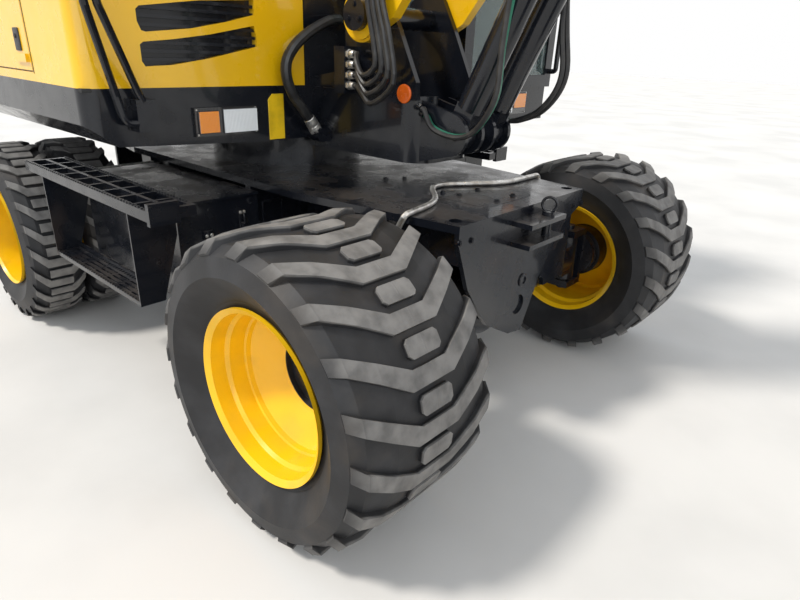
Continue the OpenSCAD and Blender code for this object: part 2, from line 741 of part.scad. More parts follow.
module upper_frame() {
  head = boom_fork_y + boss_ring + side_gap;
  color(black) place() {
    difference() {
      front(base_rear_x, house_front_x) base_outline();
      corner_bite(1000, sill_z + 1);
    }
    translate([0, 0, upper_z - ring_seat_h]) cylinder(r = ring_r - 25 - pin_gap, h = ring_seat_h + 20);
    box([house_front_x, cab_in_y, cab_base_z], [cab_base_x, upper_half_w, sill_z]);
    box([house_front_x, tower_out_y, upper_z + 60], [house_front_x + 240, cab_in_y, sill_z]);
    both_sides() {
      side(tower_in_y, tower_out_y) cheek_outline();
      side(tower_in_y, tower_out_y - 10) rear_cheek_outline();
      side(ram_y + ram_eye_w + side_gap, ram_y + ram_eye_w + side_gap + 20) ram_lug_outline();
      side(ram_y - ram_eye_w - side_gap - 20, ram_y - ram_eye_w - side_gap) ram_lug_outline();
    }
    tower_shell();
    tower_fittings();
    box([house_front_x - 40, -house_in_y + 5, upper_z + 40], [house_front_x, cab_in_y - 10, bulkhead_z]);
    pin(boom_foot, 45, -head - 27, head + 27);
    both_sides() pin(boom_foot, 62, head, head + 27);
    pin(boom_ram_foot, ram_pin_r, -ram_y - ram_eye_w - side_gap - 22, ram_y + ram_eye_w + side_gap + 22);
  }
}

weight_front_x = -1300;
weight_z0 = 1165;
weight_z1 = 2060;

module counterweight() {
  color(yellow) place() intersection() {
    translate([0, 0, weight_z0]) cylinder(r = tail_r, h = weight_z1 - weight_z0, $fn = 128);
    difference() {
      side(-upper_half_w + 10, upper_half_w - 10) polygon([
        [-2000, 1240], [base_rear_x - 80, weight_z0], [base_rear_x - 1, weight_z0], [base_rear_x - 1, sill_z],
        [weight_front_x, sill_z], [weight_front_x, weight_z1], [-1700, weight_z1], [-2000, 1900]
      ]);
    }
  }
}

house_rear_x = weight_front_x;
engine_bay_x = -800;
engine_bay_z = 2100;
door_x0 = -740;
door_x1 = 10;
door_z0 = 1405;
door_z1 = 2120;
house_in_y = 242;

module house_plan() {
  translate([engine_bay_x, -upper_half_w]) square([house_front_x - engine_bay_x, upper_half_w - house_in_y]);
  translate([house_rear_x, -upper_half_w]) square([engine_bay_x - house_rear_x, 2 * upper_half_w]);
}

module house() {
  w = house_wall;
  color(yellow) place() difference() {
    union() {
      flat(sill_z, engine_bay_z) house_plan();
      flat(engine_bay_z, house_top_z) intersection() {
        house_plan();
        translate([engine_bay_x + w, -upper_half_w]) square([3000, upper_half_w]);
      }
    }
    box([engine_bay_x + w, -upper_half_w + w, sill_z + w], [house_front_x - w, -house_in_y - w, house_top_z - w]);
    box([house_rear_x + w, -upper_half_w + w, sill_z + w], [engine_bay_x - w, upper_half_w - w, house_top_z]);
    box([door_x0 - door_gap, -upper_half_w - 1, door_z0 - door_gap], [door_x1 + door_gap, -upper_half_w + w + 1, door_z1 + door_gap]);
    front(house_front_x - w - 1, house_front_x + 1) vents();
    corner_bite(sill_z - 1, house_top_z + 1);
    for (s = [-1, 1])
      box([house_rear_x + 90, min(s * (upper_half_w + 1), s * (upper_half_w - w - 1)), 1560],
        [engine_bay_x - 90, max(s * (upper_half_w + 1), s * (upper_half_w - w - 1)), 1960]);
  }
  color(yellow) place() {
    for (z = house_hinge_z) hinge_lugs(door_x0 - door_gap / 2, -upper_half_w - hinge_r - 1, z, -1);
    for (y = hood_hinge_y, s = [-1, 1])
      pin([hood_hinge_x, hood_hinge_z], hinge_r, y + s * (lug_h + 2) - lug_h / 2, y + s * (lug_h + 2) + lug_h / 2);
    for (y = hood_hinge_y, s = [-1, 1])
      box([hood_hinge_x, y + s * (lug_h + 2) - lug_h / 2, engine_bay_z - 20], [house_rear_x + 10, y + s * (lug_h + 2) + lug_h / 2, engine_bay_z]);
    for (y = hood_hinge_y) pin([hood_hinge_x, hood_hinge_z], hinge_pin_r, y - lug_h, y + lug_h);
  }
}

// Swept vents in the front of the right house.
module vents() {
  y = -upper_half_w + 235;
  polygon([[y, 1635], [y, 1595], [y + 12, 1565], [y + 30, 1561], [-800, 1581], [-644, 1612], [-507, 1646], [-503, 1703], [-760, 1682], [y + 14, 1647]]);
  polygon([[y, 1517], [y, 1459], [y + 12, 1441], [-897, 1447], [-728, 1474], [-502, 1523], [-498, 1557], [-508, 1605], [-719, 1563], [-885, 1539], [y + 14, 1527]]);
}

module grille(x0, x1, y0, y1, z0, z1, slats) {
  pitch = (z1 - z0) / slats;
  for (i = [0 : slats - 1]) box([x0, y0, z0 + i * pitch], [x1, y1, z0 + (i + 0.45) * pitch]);
}

module grilles() {
  color(black) place() {
    front(house_front_x - house_wall, house_front_x - house_wall + 6) vents();
    front(house_front_x - house_wall + 6, house_front_x - 8) intersection() {
      vents();
      for (i = [0 : 8]) translate([-upper_half_w, 1430 + 30 * i]) square([upper_half_w, 12]);
    }
    both_sides() {
      box([house_rear_x + 90, upper_half_w - house_wall, 1560], [engine_bay_x - 90, upper_half_w - house_wall + 6, 1960]);
      grille(house_rear_x + 90, engine_bay_x - 90, upper_half_w - house_wall + 6, upper_half_w - 5, 1560, 1960, 12);
    }
  }
}

module engine() {
  color(grey) place() box([house_rear_x + 110, -450, sill_z + house_wall], [engine_bay_x - 110, 550, 1950]);
}

hood_h = 150;
hood_hinge_x = house_rear_x - 14;
hood_hinge_z = engine_bay_z - 4;
hood_hinge_y = [-900, 900];

module hood() {
  color(yellow) place() {
    translate([0, 0, engine_bay_z + side_gap]) difference() {
      side(-upper_half_w + 20, upper_half_w - 20) polygon([
        [house_rear_x + 5, 0], [house_rear_x + 5, 90], [house_rear_x + 70, hood_h], [engine_bay_x - 70, hood_h],
        [engine_bay_x - 5, 90], [engine_bay_x - 5, 0]
      ]);
      box([house_rear_x + 45, -upper_half_w + 60, -1], [engine_bay_x - 45, upper_half_w - 60, 85]);
    }
    for (y = hood_hinge_y) difference() {
      union() {
        pin([hood_hinge_x, hood_hinge_z], hinge_r, y - lug_h / 2, y + lug_h / 2);
        box([hood_hinge_x - hinge_r, y - lug_h / 2, hood_hinge_z], [hood_hinge_x, y + lug_h / 2, engine_bay_z + 40]);
        box([hood_hinge_x - hinge_r, y - lug_h / 2, engine_bay_z + side_gap + 10], [house_rear_x + 20, y + lug_h / 2, engine_bay_z + 40]);
      }
      pin([hood_hinge_x, hood_hinge_z], hinge_pin_r + pin_gap, y - 100, y + 100);
    }
    translate([-1150, -700, engine_bay_z + hood_h]) difference() {
      cylinder(r = 50, h = 230);
      translate([0, 0, 40]) cylinder(r = 42, h = 200);
    }
  }
}

module service_door() {
  color(yellow) place() {
    for (z = house_hinge_z) hinge_knuckle(door_x0 - door_gap / 2, -upper_half_w - hinge_r - 1, z, -1);
    box([door_x0, -upper_half_w, door_z0], [door_x1, -upper_half_w + house_wall, door_z1]);
    box([door_x1 - 138, -upper_half_w - 12, 1435], [door_x1 - 14, -upper_half_w, 1466]);
  }
}

// Cab

cab_rear_x = -cab_back;
brow_x = 720;
cab_y0 = cab_in_y;
cab_y1 = upper_half_w;
cab_door_x0 = -60;
cab_door_x1 = 850;
cab_door_z0 = 1420;
cab_hinge_z = [1650, 2650];
house_hinge_z = [1550, 1980];

module cab_outline(w) {
  polygon([
    [cab_rear_x + w, sill_z + w], [cab_front_x - w, sill_z + w], [cab_front_x - w, screen_bend_z], [brow_x - w, brow_z - w],
    [brow_x - 70 - w, cab_top_z - w], [cab_rear_x + 60 + w, cab_top_z - w], [cab_rear_x + w, brow_z - w]
  ]);
}

window_low_z = 2080;
window_high_z = 2860;
screen_low_z = 1430;
right_low_z = 1500;
brow_z = 2960;
screen_bend_z = 2000;

// Front face of the cab at a height above its bend.
function screen_x(z) = cab_front_x + (brow_x - cab_front_x) * (z - screen_bend_z) / (brow_z - screen_bend_z);

module door_outline(g) {
  polygon([
    [cab_door_x0 - g, cab_door_z0 - g], [cab_door_x1 + g, cab_door_z0 - g], [cab_door_x1 + g, 2000],
    [brow_x - 110 + g, 2880 + g], [cab_door_x0 - g, 2880 + g]
  ]);
}

module door_window_outline() {
  polygon([
    [cab_door_x0 + 60, 1880], [cab_door_x1 - 60, 1880], [cab_door_x1 - 60, 2000], [brow_x - 170, 2820], [cab_door_x0 + 60, 2820]
  ]);
}

module right_window_outline() {
  polygon([
    [-180, right_low_z], [cab_front_x - 130, right_low_z], [cab_front_x - 130, screen_bend_z], [brow_x - 160, window_high_z], [-180, window_high_z]
  ]);
}

module rear_side_outline() {
  polygon([[cab_rear_x + 90, window_low_z], [-250, window_low_z], [-250, window_high_z], [cab_rear_x + 90, window_high_z]]);
}

module screen_slot(y0, y1) {
  side(y0, y1) polygon([
    [cab_front_x - 150, screen_low_z], [cab_front_x + 60, screen_low_z], [cab_front_x + 60, 2000],
    [brow_x + 60, 2900], [brow_x - 170, 2900], [cab_front_x - 150, 2000]
  ]);
}

module cab_frame() {
  color(black) place() difference() {
    side(cab_y0, cab_y1) cab_outline(0);
    side(cab_y0 + cab_wall, cab_y1 - cab_wall) cab_outline(cab_wall);
    side(cab_y1 - cab_wall - 1, cab_y1 + 1) door_outline(door_gap);
    side(cab_y1 - cab_wall - 1, cab_y1 + 1) rear_side_outline();
    side(cab_y0 - 1, cab_y0 + cab_wall + 1) right_window_outline();
    side(cab_y0 - 1, cab_y0 + cab_wall + 1) polygon([[cab_rear_x + 90, window_low_z], [-240, window_low_z],
      [-240, window_high_z], [cab_rear_x + 90, window_high_z]]);
    screen_slot(cab_y0 + 70, cab_y1 - 70);
    box([cab_rear_x - 1, cab_y0 + 90, 2280], [cab_rear_x + cab_wall + 1, cab_y1 - 90, window_high_z]);
    box([-200, cab_y0 + 150, cab_top_z - cab_wall - 1], [450, cab_y1 - 150, cab_top_z + 1]);
  }
  color(black) place()
    for (z = cab_hinge_z) hinge_lugs(cab_door_x0 - door_gap / 2, cab_y1 + hinge_r + 1, z, 1);
}

module cab_glass() {
  color(glass) place() {
    side(cab_y1 - 20 - glass_t, cab_y1 - 20) rear_side_outline();
    side(cab_y0 + 20, cab_y0 + 20 + glass_t) right_window_outline();
    side(cab_y0 + 20, cab_y0 + 20 + glass_t) polygon([[cab_rear_x + 90, window_low_z], [-240, window_low_z],
      [-240, window_high_z], [cab_rear_x + 90, window_high_z]]);
    side(cab_y0 + 70, cab_y1 - 70) polygon([
      [cab_front_x - 12 - glass_t, screen_low_z], [cab_front_x - 12, screen_low_z], [cab_front_x - 12, 2000],
      [brow_x + 1, 2900], [brow_x + 1 - glass_t, 2900], [cab_front_x - 12 - glass_t, 2000]
    ]);
    box([cab_rear_x + 20, cab_y0 + 90, 2280], [cab_rear_x + 20 + glass_t, cab_y1 - 90, window_high_z]);
    box([-200, cab_y0 + 150, cab_top_z - 20 - glass_t], [450, cab_y1 - 150, cab_top_z - 20]);
  }
}

module cab_door() {
  color(black) place() for (z = cab_hinge_z) hinge_knuckle(cab_door_x0 - door_gap / 2, cab_y1 + hinge_r + 1, z, 1);
  color(black) place() difference() {
    union() {
      side(cab_y1 - cab_wall, cab_y1) door_outline(0);
      box([cab_door_x1 - 110, cab_y1, 1800], [cab_door_x1 - 50, cab_y1 + 30, 1825]);
    }
    side(cab_y1 - cab_wall - 1, cab_y1 + 1) door_window_outline();
  }
}

module door_glass() {
  color(glass) place() side(cab_y1 - 30 - glass_t, cab_y1 - 30) door_window_outline();
}

seat_y = (cab_y0 + cab_y1) / 2;
seat_x = -120;
console_y = (cab_y1 - cab_y0) / 2 - cab_wall - 85;
seat_half_w = console_y - 50;
floor_z = sill_z + cab_wall;

module seat() {
  color(black) place() {
    box([seat_x - 220, seat_y - 180, floor_z], [seat_x + 180, seat_y + 180, floor_z + 260]);
    box([seat_x - 240, seat_y - seat_half_w, floor_z + 260], [seat_x + 260, seat_y + seat_half_w, floor_z + 380]);
    side(seat_y - seat_half_w + 10, seat_y + seat_half_w - 10) polygon([
      [seat_x - 240, floor_z + 380], [seat_x - 110, floor_z + 380], [seat_x - 230, floor_z + 980], [seat_x - 330, floor_z + 980]
    ]);
  }
}

module controls() {
  color(grey) place() {
    for (s = [-1, 1]) {
      y = seat_y + s * console_y;
      box([seat_x - 120, y - 45, floor_z], [seat_x + 300, y + 45, floor_z + 560]);
      bar([seat_x + 230, y, floor_z + 550], [seat_x + 250, y, floor_z + 720], 22);
    }
    bar([640, seat_y, floor_z + 8], [500, seat_y, floor_z + 640], 35);
    translate([500, seat_y, floor_z + 640]) rotate([0, -25, 0])
      rotate_extrude($fn = 48) translate([175, 0]) circle(r = 14, $fn = 16);
    translate([500, seat_y, floor_z + 640]) rotate([0, -25, 0]) box([-175, -18, -8], [175, 18, 8]);
    for (s = [-1, 1]) box([640, seat_y + s * 110 - 45, floor_z], [760, seat_y + s * 110 + 45, floor_z + 60]);
  }
}

module lamps() {
  color(grey) place() {
    box([house_front_x, -830, 1170], [house_front_x + 14, -530, 1285]);
    box([house_front_x + 14, -700, 1180], [house_front_x + 24, -535, 1275]);
    box([house_front_x + 14, -815, 1185], [house_front_x + 24, -725, 1270]);
    box([cab_base_x, 730, 1222], [cab_base_x + 14, 1025, 1342]);
    box([cab_base_x + 14, 742, 1233], [cab_base_x + 24, 872, 1330]);
    box([cab_base_x + 14, 890, 1256], [cab_base_x + 24, 1008, 1331]);
    for (y = [cab_y0 + 120, cab_y1 - 120])
      box([brow_x - 190, y - 60, cab_top_z], [brow_x - 90, y + 60, cab_top_z + 70]);
    translate([-450, cab_y0 + 160, cab_top_z]) cylinder(r = 55, h = 130);
  }
}

stay_r = 14;
mirror_out = 40;
mirror_w = 200;
mirror_low_z = 2230;
mirror_high_z = 2600;

// Stays stand on a bracket of the base and reach the side places given inward from the edge.
module mirrors() {
  y = -upper_half_w;
  x = house_front_x;
  color(black) place() {
    box([x, y + 168, 1210], [x + 50, y + 249, 1327]);
    bent_bar([[x + 40, y + 170, 1242], [x + 40, y + 125, 1242], [x + 40, y + 101, 1357], [x + 140, y, 1645],
      [x + 170, y - mirror_out + 30, mirror_low_z + 20]], stay_r, 30);
    bent_bar([[x + 40, y + 200, 1320], [x + 42, y + 180, 1365], [x + 140, y + 41, 1645],
      [x + 170, y - mirror_out + 75, mirror_low_z + 20]], stay_r, 20);
    box([x + 150, y - mirror_out, mirror_low_z], [x + 190, y - mirror_out + mirror_w, mirror_high_z]);
    bent_bar([[screen_x(2680 - stay_r) + 0.5, cab_y1 - 30, 2680], [cab_front_x - 20, cab_y1 - 30, 2680], [cab_front_x + 60, cab_y1 - 30, 2660],
      [cab_front_x + 60, cab_y1 - 30, mirror_high_z - 100]], stay_r, 40);
    box([cab_front_x + 40, cab_y1 + mirror_out - mirror_w, mirror_low_z + 20], [cab_front_x + 80, cab_y1 + mirror_out, mirror_high_z]);
    for (rail_y = [y + 70, -cab_in_y - 70])
      bent_bar([[-680, rail_y, house_top_z], [-680, rail_y, house_top_z + 350], [350, rail_y, house_top_z + 350], [350, rail_y, house_top_z]], 16);
    bent_bar([[cab_front_x, cab_y1 - 30, 1450], [cab_front_x + 45, cab_y1 - 30, 1450], [cab_front_x + 45, cab_y1 - 30, 1950],
      [cab_front_x, cab_y1 - 30, 1950]], stay_r, 20);
  }
}

// Hoses and bent bars are swept along rounded routes.

function spline(a, b, c, d, t) = 0.5 * ((2 * b) + (c - a) * t + (2 * a - 5 * b + 4 * c - d) * t * t
  + (3 * b - a - 3 * c + d) * t * t * t);
function route(p, steps) = [
  for (i = [0 : len(p) - 2], k = [0 : steps - 1])
    spline(p[max(i - 1, 0)], p[i], p[i + 1], p[min(i + 2, len(p) - 1)], k / steps), p[len(p) - 1]
];
function unit(v) = v / norm(v);
function flat_normal(t, n) = unit(n - t * (n * t));
function tangents(p) = [for (i = [0 : len(p) - 1]) unit(p[min(i + 1, len(p) - 1)] - p[max(i - 1, 0)])];
function carried(t, i, n) = i == 0 ? [n] : let (before = carried(t, i - 1, n)) concat(before, [flat_normal(t[i], before[i - 1])]);

// A corner turned into a short curve that starts and ends one bend length from it.
// The bend is one length for all corners or a list with one for each.
function corner(a, b, c, bend) = let (p = b + bend * unit(a - b), q = b + bend * unit(c - b))
  [for (k = [0 : 4]) let (t = k / 4) (1 - t) * (1 - t) * p + 2 * t * (1 - t) * b + t * t * q];
function rounded(p, bend) = [
  p[0], for (i = [1 : 1 : len(p) - 2]) each corner(p[i - 1], p[i], p[i + 1], is_list(bend) ? bend[i - 1] : bend), p[len(p) - 1]
];

// A round section carried along a path of points.
module sweep(p, r, sides) {
  t = tangents(p);
  start = flat_normal(t[0], abs(t[0][1]) < 0.9 ? [0, 1, 0] : [1, 0, 0]);
  n = carried(t, len(p) - 1, start);
  last = len(p) - 1;
  rings = [for (i = [0 : last], k = [0 : sides - 1])
    p[i] + r * (cos(360 * k / sides) * n[i] + sin(360 * k / sides) * cross(t[i], n[i]))];
  polyhedron(points = rings, faces = concat(
    [[for (k = [0 : sides - 1]) k]],
    [for (i = [0 : last - 1], k = [0 : sides - 1])
      [i * sides + k, (i + 1) * sides + k, (i + 1) * sides + (k + 1) % sides, i * sides + (k + 1) % sides]],
    [[for (k = [0 : sides - 1]) last * sides + sides - 1 - k]]
  ));
}

module hose(points, r, steps = 6, sides = 10) {
  sweep(route(points, steps), r, sides);
}

// Way in which a line points at its end.
function way(a, b) = (b - a) / norm(b - a);

big_hose_start = [elbow[0], -243, 1175];
big_hose_way = way([elbow[0], -243, 1175], [elbow[0], -275, 1217]);

// The big hose climbs from the elbow round the tower and goes back into the bulkhead.
module tower_hoses() {
  x = elbow[0];
  color(rubber) place()
    hose([big_hose_start, [x, -275, 1217], [x, -321, 1273], [x, -368, 1330], [x, -399, 1401], [x, -396, 1471], [x, -346, 1536],
      [x, -261, 1594], [x, -161, 1638], [x - 22, -80, 1652], [house_front_x + 30, -54, 1655], [house_front_x + 15, -52, 1655],
      [house_front_x + 0.6, -52, 1655]], big_hose_r, 5);
}

// Hoses of the boom rams: a pair on each side, from the shell's corner to a port block on the barrel.
function ram_hose_y(k) = 178 + 23 * k;
ram_hose_z = 1290;
ram_hose_r = 11;
port_at = 650;
ram_dir = heading(boom_ram_foot, boom_ram_eye);
function ram_at(s, d, y) = let (p = polar(boom_ram_foot, d, ram_dir)) [p[0], s * y, p[1]];
ram_hose_x = 1152;
function ram_hose_start(s, k) = [ram_hose_x, s * (ram_hose_y(k) - 0.5), ram_hose_z + 28 * k];
function ram_hose_way(s) = way([1128, 0, 0], [1150, s * 0.5, -8]);

// Places between the corner and the barrel on the right and left: X and Z.
right_bend = [[1204, 1245], [1310, 1222], [1396, 1245], [1461, 1318], [1497, 1409], [1500, 1560]];
left_bend = [[1204, 1285], [1317, 1265], [1389, 1278], [1474, 1320], [1538, 1399], [1558, 1487], [1535, 1620]];

// A place on the boom, along its lower section and up from it.
function boom_at(u, v, y) = let (p = polar(polar(boom_foot, u, boom_low_deg), v, boom_low_deg + 90)) [p[0], y, p[1]];
clamp_u = 298;
clamp_y = -283;
function clamp_v(i) = 50 - 30 * i;

module boom_hoses() {
  color(rubber) place() {
    for (s = [-1, 1], k = [0, 1])
      hose(concat([for (t = [0, 4, 8, 16]) ram_hose_start(s, k) + t * ram_hose_way(s)],
        [for (b = s < 0 ? right_bend : left_bend) [b[0] + 10 * k, s * ram_hose_y(k), b[1]]],
        [for (u = [60, 24, 10, 0.6]) ram_at(s, port_at - u, ram_hose_y(k))]), ram_hose_r, 4, 8);
    for (i = [0 : 3]) {
      z = valve_top_z - i * valve_pitch;
      hose([[stub_x - 0.5, -255, z], [stub_x + 8, -255, z], [stub_x + 16, -255, z], [852 + 12 * i, -282, 1484 - 42 * i], [905 + 18 * i, -295, 1432 - 36 * i],
        [978 + 34 * i, -300, 1470 - 20 * i], [968 + 30 * i, -302, 1570], [935 + 27 * i, -302, 1700],
        boom_at(190, clamp_v(i), -297), boom_at(clamp_u - 36, clamp_v(i), clamp_y), boom_at(clamp_u - 18, clamp_v(i), clamp_y),
        boom_at(clamp_u - 0.5, clamp_v(i), clamp_y)], 12, 4, 8);
    }
  }
}

// Working arm

boom_fork_in = tower_out_y + 6;
boom_fork_y = boom_fork_in + 50;
boss_ring = 12;
foot_boss_r = 105;
ram_y = 100;
ram_eye_w = 40;
ram_pin_r = 32;

module boom_outline() {
  low = boom_low_deg;
  up = boom_up_deg;
  difference() {
    union() {
      translate(boom_foot) circle(r = foot_boss_r);
      polygon([
        polar(boom_foot, foot_boss_r, low - 90), polar(polar(boom_foot, 90, low), 150, low - 90), polar(polar(boom_foot, 900, low), 200, low - 90),
        polar(polar(boom_foot, 1800, low), 240, low - 90), polar(polar(boom_knee, 160, up), 275, up - 90),
        polar(polar(boom_knee, 700, up), 250, up - 90), polar(boom_tip, 110, up - 90), polar(boom_tip, 110, up + 90),
        polar(polar(boom_knee, 500, up), 235, up + 90), polar(boom_knee, 270, (low + up) / 2 + 90),
        polar(polar(boom_foot, 1700, low), 250, low + 90), polar(polar(boom_foot, 800, low), 190, low + 90),
        polar(boom_foot, foot_boss_r, low + 90)
      ]);
      translate(boom_tip) circle(r = 110);
    }
  }
}

boom_plan_len = boom_low_len + boom_up_len;

// Half width of the boom along its lower section: wide at the fork, then narrow.
module boom_plan() {
  polygon([
    [-300, -boom_fork_y], [260, -boom_fork_y], [960, -boom_half_w], [boom_plan_len, -boom_half_w],
    [boom_plan_len, boom_half_w], [960, boom_half_w], [260, boom_fork_y], [-300, boom_fork_y]
  ]);
}

module fork_gap() {
  polygon([[-400, -boom_fork_in], [420, -boom_fork_in], [640, -120], [640, 120], [420, boom_fork_in], [-400, boom_fork_in]]);
}

module boom_frame_of(p, deg) {
  translate([p[0], 0, p[1]]) rotate([0, -deg, 0]) children();
}

// Pocket in the boom's belly, in which the rods' eyes swing.
eye_pocket_u0 = 1300;
eye_pocket_u1 = 1780;
// Slot of the boom's fork, deep enough for the whole swing of the stick.
tip_slot_r = 490;
ram_ear_r = 62;
// Half width of the pocket's mouth, where the barrel's end comes in when the boom is down.
barrel_room = 62;
stick_ear_r = 69;

module boom() {
  color(yellow) place() difference() {
    union() {
      intersection() {
        side(-boom_fork_y, boom_fork_y) boom_outline();
        boom_frame_of(boom_foot, boom_low_deg) flat(-3600, 900) boom_plan();
      }
      both_sides() side(ram_y + ram_eye_w + side_gap, ram_y + ram_eye_w + side_gap + 25) ear(boom_ram_eye, polar(boom_foot, 1570, boom_low_deg), ram_ear_r);
      both_sides() side(ram_y - ram_eye_w - side_gap - 25, ram_y - ram_eye_w - side_gap) ear(boom_ram_eye, polar(boom_foot, 1570, boom_low_deg), ram_ear_r);
      both_sides() side(ram_eye_w + side_gap, ram_eye_w + side_gap + 25) ear(stick_ram_foot, polar(boom_knee, 560, boom_up_deg), stick_ear_r);
      both_sides() pin(boom_foot, 95, boom_fork_y, boom_fork_y + boss_ring);
      boom_frame_of(boom_foot, boom_low_deg) {
        box([clamp_u + 14, clamp_y - 16, clamp_v(3) - 26], [clamp_u + 90, -boom_half_w, clamp_v(0) + 26]);
        for (i = [0 : 3]) translate([clamp_u, clamp_y, clamp_v(i)]) rotate([0, 90, 0]) cylinder(r = 13, h = 20);
      }
    }
    boom_frame_of(boom_foot, boom_low_deg) flat(-900, 900) fork_gap();
    both_sides() boom_frame_of(boom_foot, boom_low_deg)
      box([eye_pocket_u0, ram_y - ram_eye_w - side_gap, -600], [eye_pocket_u1, ram_y + ram_eye_w + side_gap, -110]);
    both_sides() boom_frame_of(boom_foot, boom_low_deg)
      box([eye_pocket_u0, ram_y - barrel_room, -600], [eye_pocket_u0 + 110, ram_y + barrel_room, -180]);
    pin(boom_foot, 45 + pin_gap, -500, 500);
    side(-stick_half_w - side_gap, stick_half_w + side_gap) translate(boom_tip) circle(r = tip_slot_r);
    pin(boom_tip, 40 + pin_gap, -500, 500);
  }
  color(yellow) place() pin(stick_ram_foot, ram_pin_r, -ram_eye_w - side_gap - 40, ram_eye_w + side_gap + 40);
}

// A plate ear that carries a pin: round at the pin and rooted inside the body.
module ear(p, root, r) {
  h = heading(root, p);
  translate(p) circle(r = r);
  polygon([polar(p, r, h + 90), polar(p, r, h - 90), polar(root, r * 2, h - 90), polar(root, r * 2, h + 90)]);
}

stick_back = 640;
stick_root_r = 185;
stick_end_r = 75;
// Front face of the slim nose, which the link passes when the bucket is tipped right out.
stick_nose_r = 64;

module stick_outline() {
  d = -stick_deg;
  translate(boom_tip) circle(r = 130);
  translate(bucket_pin) circle(r = stick_end_r);
  translate(stick_ram_eye) circle(r = 70);
  polygon([
    polar(stick_ram_eye, 70, 190), polar(polar(boom_tip, 100, d), 200, d - 90), polar(bucket_pin, stick_end_r, d - 90),
    polar(bucket_pin, stick_nose_r, d + 90), polar(polar(bucket_pin, 2 * rocker_up, 180 + d), stick_nose_r, d + 90),
    polar(polar(boom_tip, 500, d), 240, d + 90),
    polar(polar(boom_tip, 60, d), 260, d + 90), polar(boom_tip, 220, d + 120), polar(stick_ram_eye, 70, 20)
  ]);
}

module stick() {
  color(yellow) place() difference() {
    union() {
      side(-stick_half_w, stick_half_w) stick_outline();
      pin(boom_tip, 40, -boom_half_w - 14, boom_half_w + 14);
      both_sides() pin(boom_tip, 58, boom_half_w + side_gap, boom_half_w + 18);
      pin(bucket_pin, 35, -230, 230);
      pin(rocker_pin, 30, -stick_half_w - 50, stick_half_w + 50);
      both_sides() side(ram_eye_w + side_gap, ram_eye_w + side_gap + 25) ear(bucket_ram_foot, polar(boom_tip, 120, -60), eye_r);
    }
    side(-ram_eye_w - side_gap, ram_eye_w + side_gap)
      ear2(polar(boom_tip, 250, 104), polar(stick_ram_eye, 120, 104), 105);
    side(-ram_eye_w - side_gap, ram_eye_w + side_gap) translate(bucket_ram_foot) circle(r = 110);
  }
  color(yellow) place() pin(bucket_ram_foot, ram_pin_r, -ram_eye_w - side_gap - 40, ram_eye_w + side_gap + 40);
}

ear_in_y = 150;
ear_t = 30;

function bucket_at(x, z) = bucket_pin + [x, z];

module bucket_skin(t) {
  polygon([
    bucket_at(-840, -990), bucket_at(-150, -990), bucket_at(60, -950), bucket_at(220, -850), bucket_at(320, -690),
    bucket_at(350, -500), bucket_at(310, -320), bucket_at(200, -190), bucket_at(-110, -150),
    bucket_at(-110, -150 - t), bucket_at(190, -190 - t), bucket_at(310 - t, -330), bucket_at(350 - t, -500),
    bucket_at(320 - t, -680), bucket_at(215 - t, -830), bucket_at(55, -950 + t), bucket_at(-150, -990 + t), bucket_at(-840, -975)
  ]);
}

module bucket_cheek() {
  polygon([
    bucket_at(-760, -990), bucket_at(-150, -990), bucket_at(60, -950), bucket_at(220, -850), bucket_at(320, -690),
    bucket_at(350, -500), bucket_at(310, -320), bucket_at(200, -190), bucket_at(-110, -150), bucket_at(-330, -420)
  ]);
}

module bucket() {
  tooth_n = 5;
  color(black) place() difference() {
    union() {
      side(-bucket_half_w, bucket_half_w) bucket_skin(22);
      both_sides() side(bucket_half_w - 22, bucket_half_w) bucket_cheek();
      both_sides() side(ear_in_y, ear_in_y + ear_t) polygon([
        bucket_at(-100, -155), bucket_at(-75, 0), bucket_at(0, 80), polar(bucket_crank_pin, 70, 110), polar(bucket_crank_pin, 70, 20),
        polar(bucket_crank_pin, 70, -60), bucket_at(315, -330), bucket_at(200, -195)
      ]);
      for (i = [0 : tooth_n - 1]) {
        y = -bucket_half_w + 60 + i * (2 * bucket_half_w - 120) / (tooth_n - 1);
        side(y - 35, y + 35) polygon([bucket_at(-760, -990), bucket_at(-760, -950), bucket_at(-930, -985), bucket_at(-930, -992)]);
      }
      pin(bucket_crank_pin, 30, -ear_in_y - ear_t - 14, ear_in_y + ear_t + 14);
    }
    pin(bucket_pin, 35 + pin_gap, -500, 500);
  }
}

rocker_in_y = stick_half_w + side_gap;
rocker_t = 28;
link_in_y = ram_eye_w + side_gap;
link_t = 30;

module rocker() {
  color(black) place() both_sides() difference() {
    union() {
      side(rocker_in_y, rocker_in_y + rocker_t) ear2(rocker_pin, rocker_crank_pin, 55);
      pin(rocker_crank_pin, 28, link_in_y + side_gap, rocker_in_y + rocker_t + 12);
    }
    pin(rocker_pin, 30 + pin_gap, -500, 500);
  }
}

// A flat link plate between two round ends.
module ear2(p, q, r) {
  h = heading(p, q);
  translate(p) circle(r = r);
  translate(q) circle(r = r);
  polygon([polar(p, r, h + 90), polar(p, r, h - 90), polar(q, r, h - 90), polar(q, r, h + 90)]);
}

module link() {
  color(black) place() difference() {
    union() {
      both_sides() side(link_in_y, link_in_y + link_t) ear2(rocker_crank_pin, bucket_crank_pin, 50);
      side(-link_in_y - 1, link_in_y + 1) ear2(between(rocker_crank_pin, bucket_crank_pin, 0.5), bucket_crank_pin, 34);
    }
    pin(rocker_crank_pin, 28 + pin_gap, -500, 500);
    pin(bucket_crank_pin, 30 + pin_gap, -500, 500);
  }
}

// Hydraulic rams

ram_neck_len = 115;

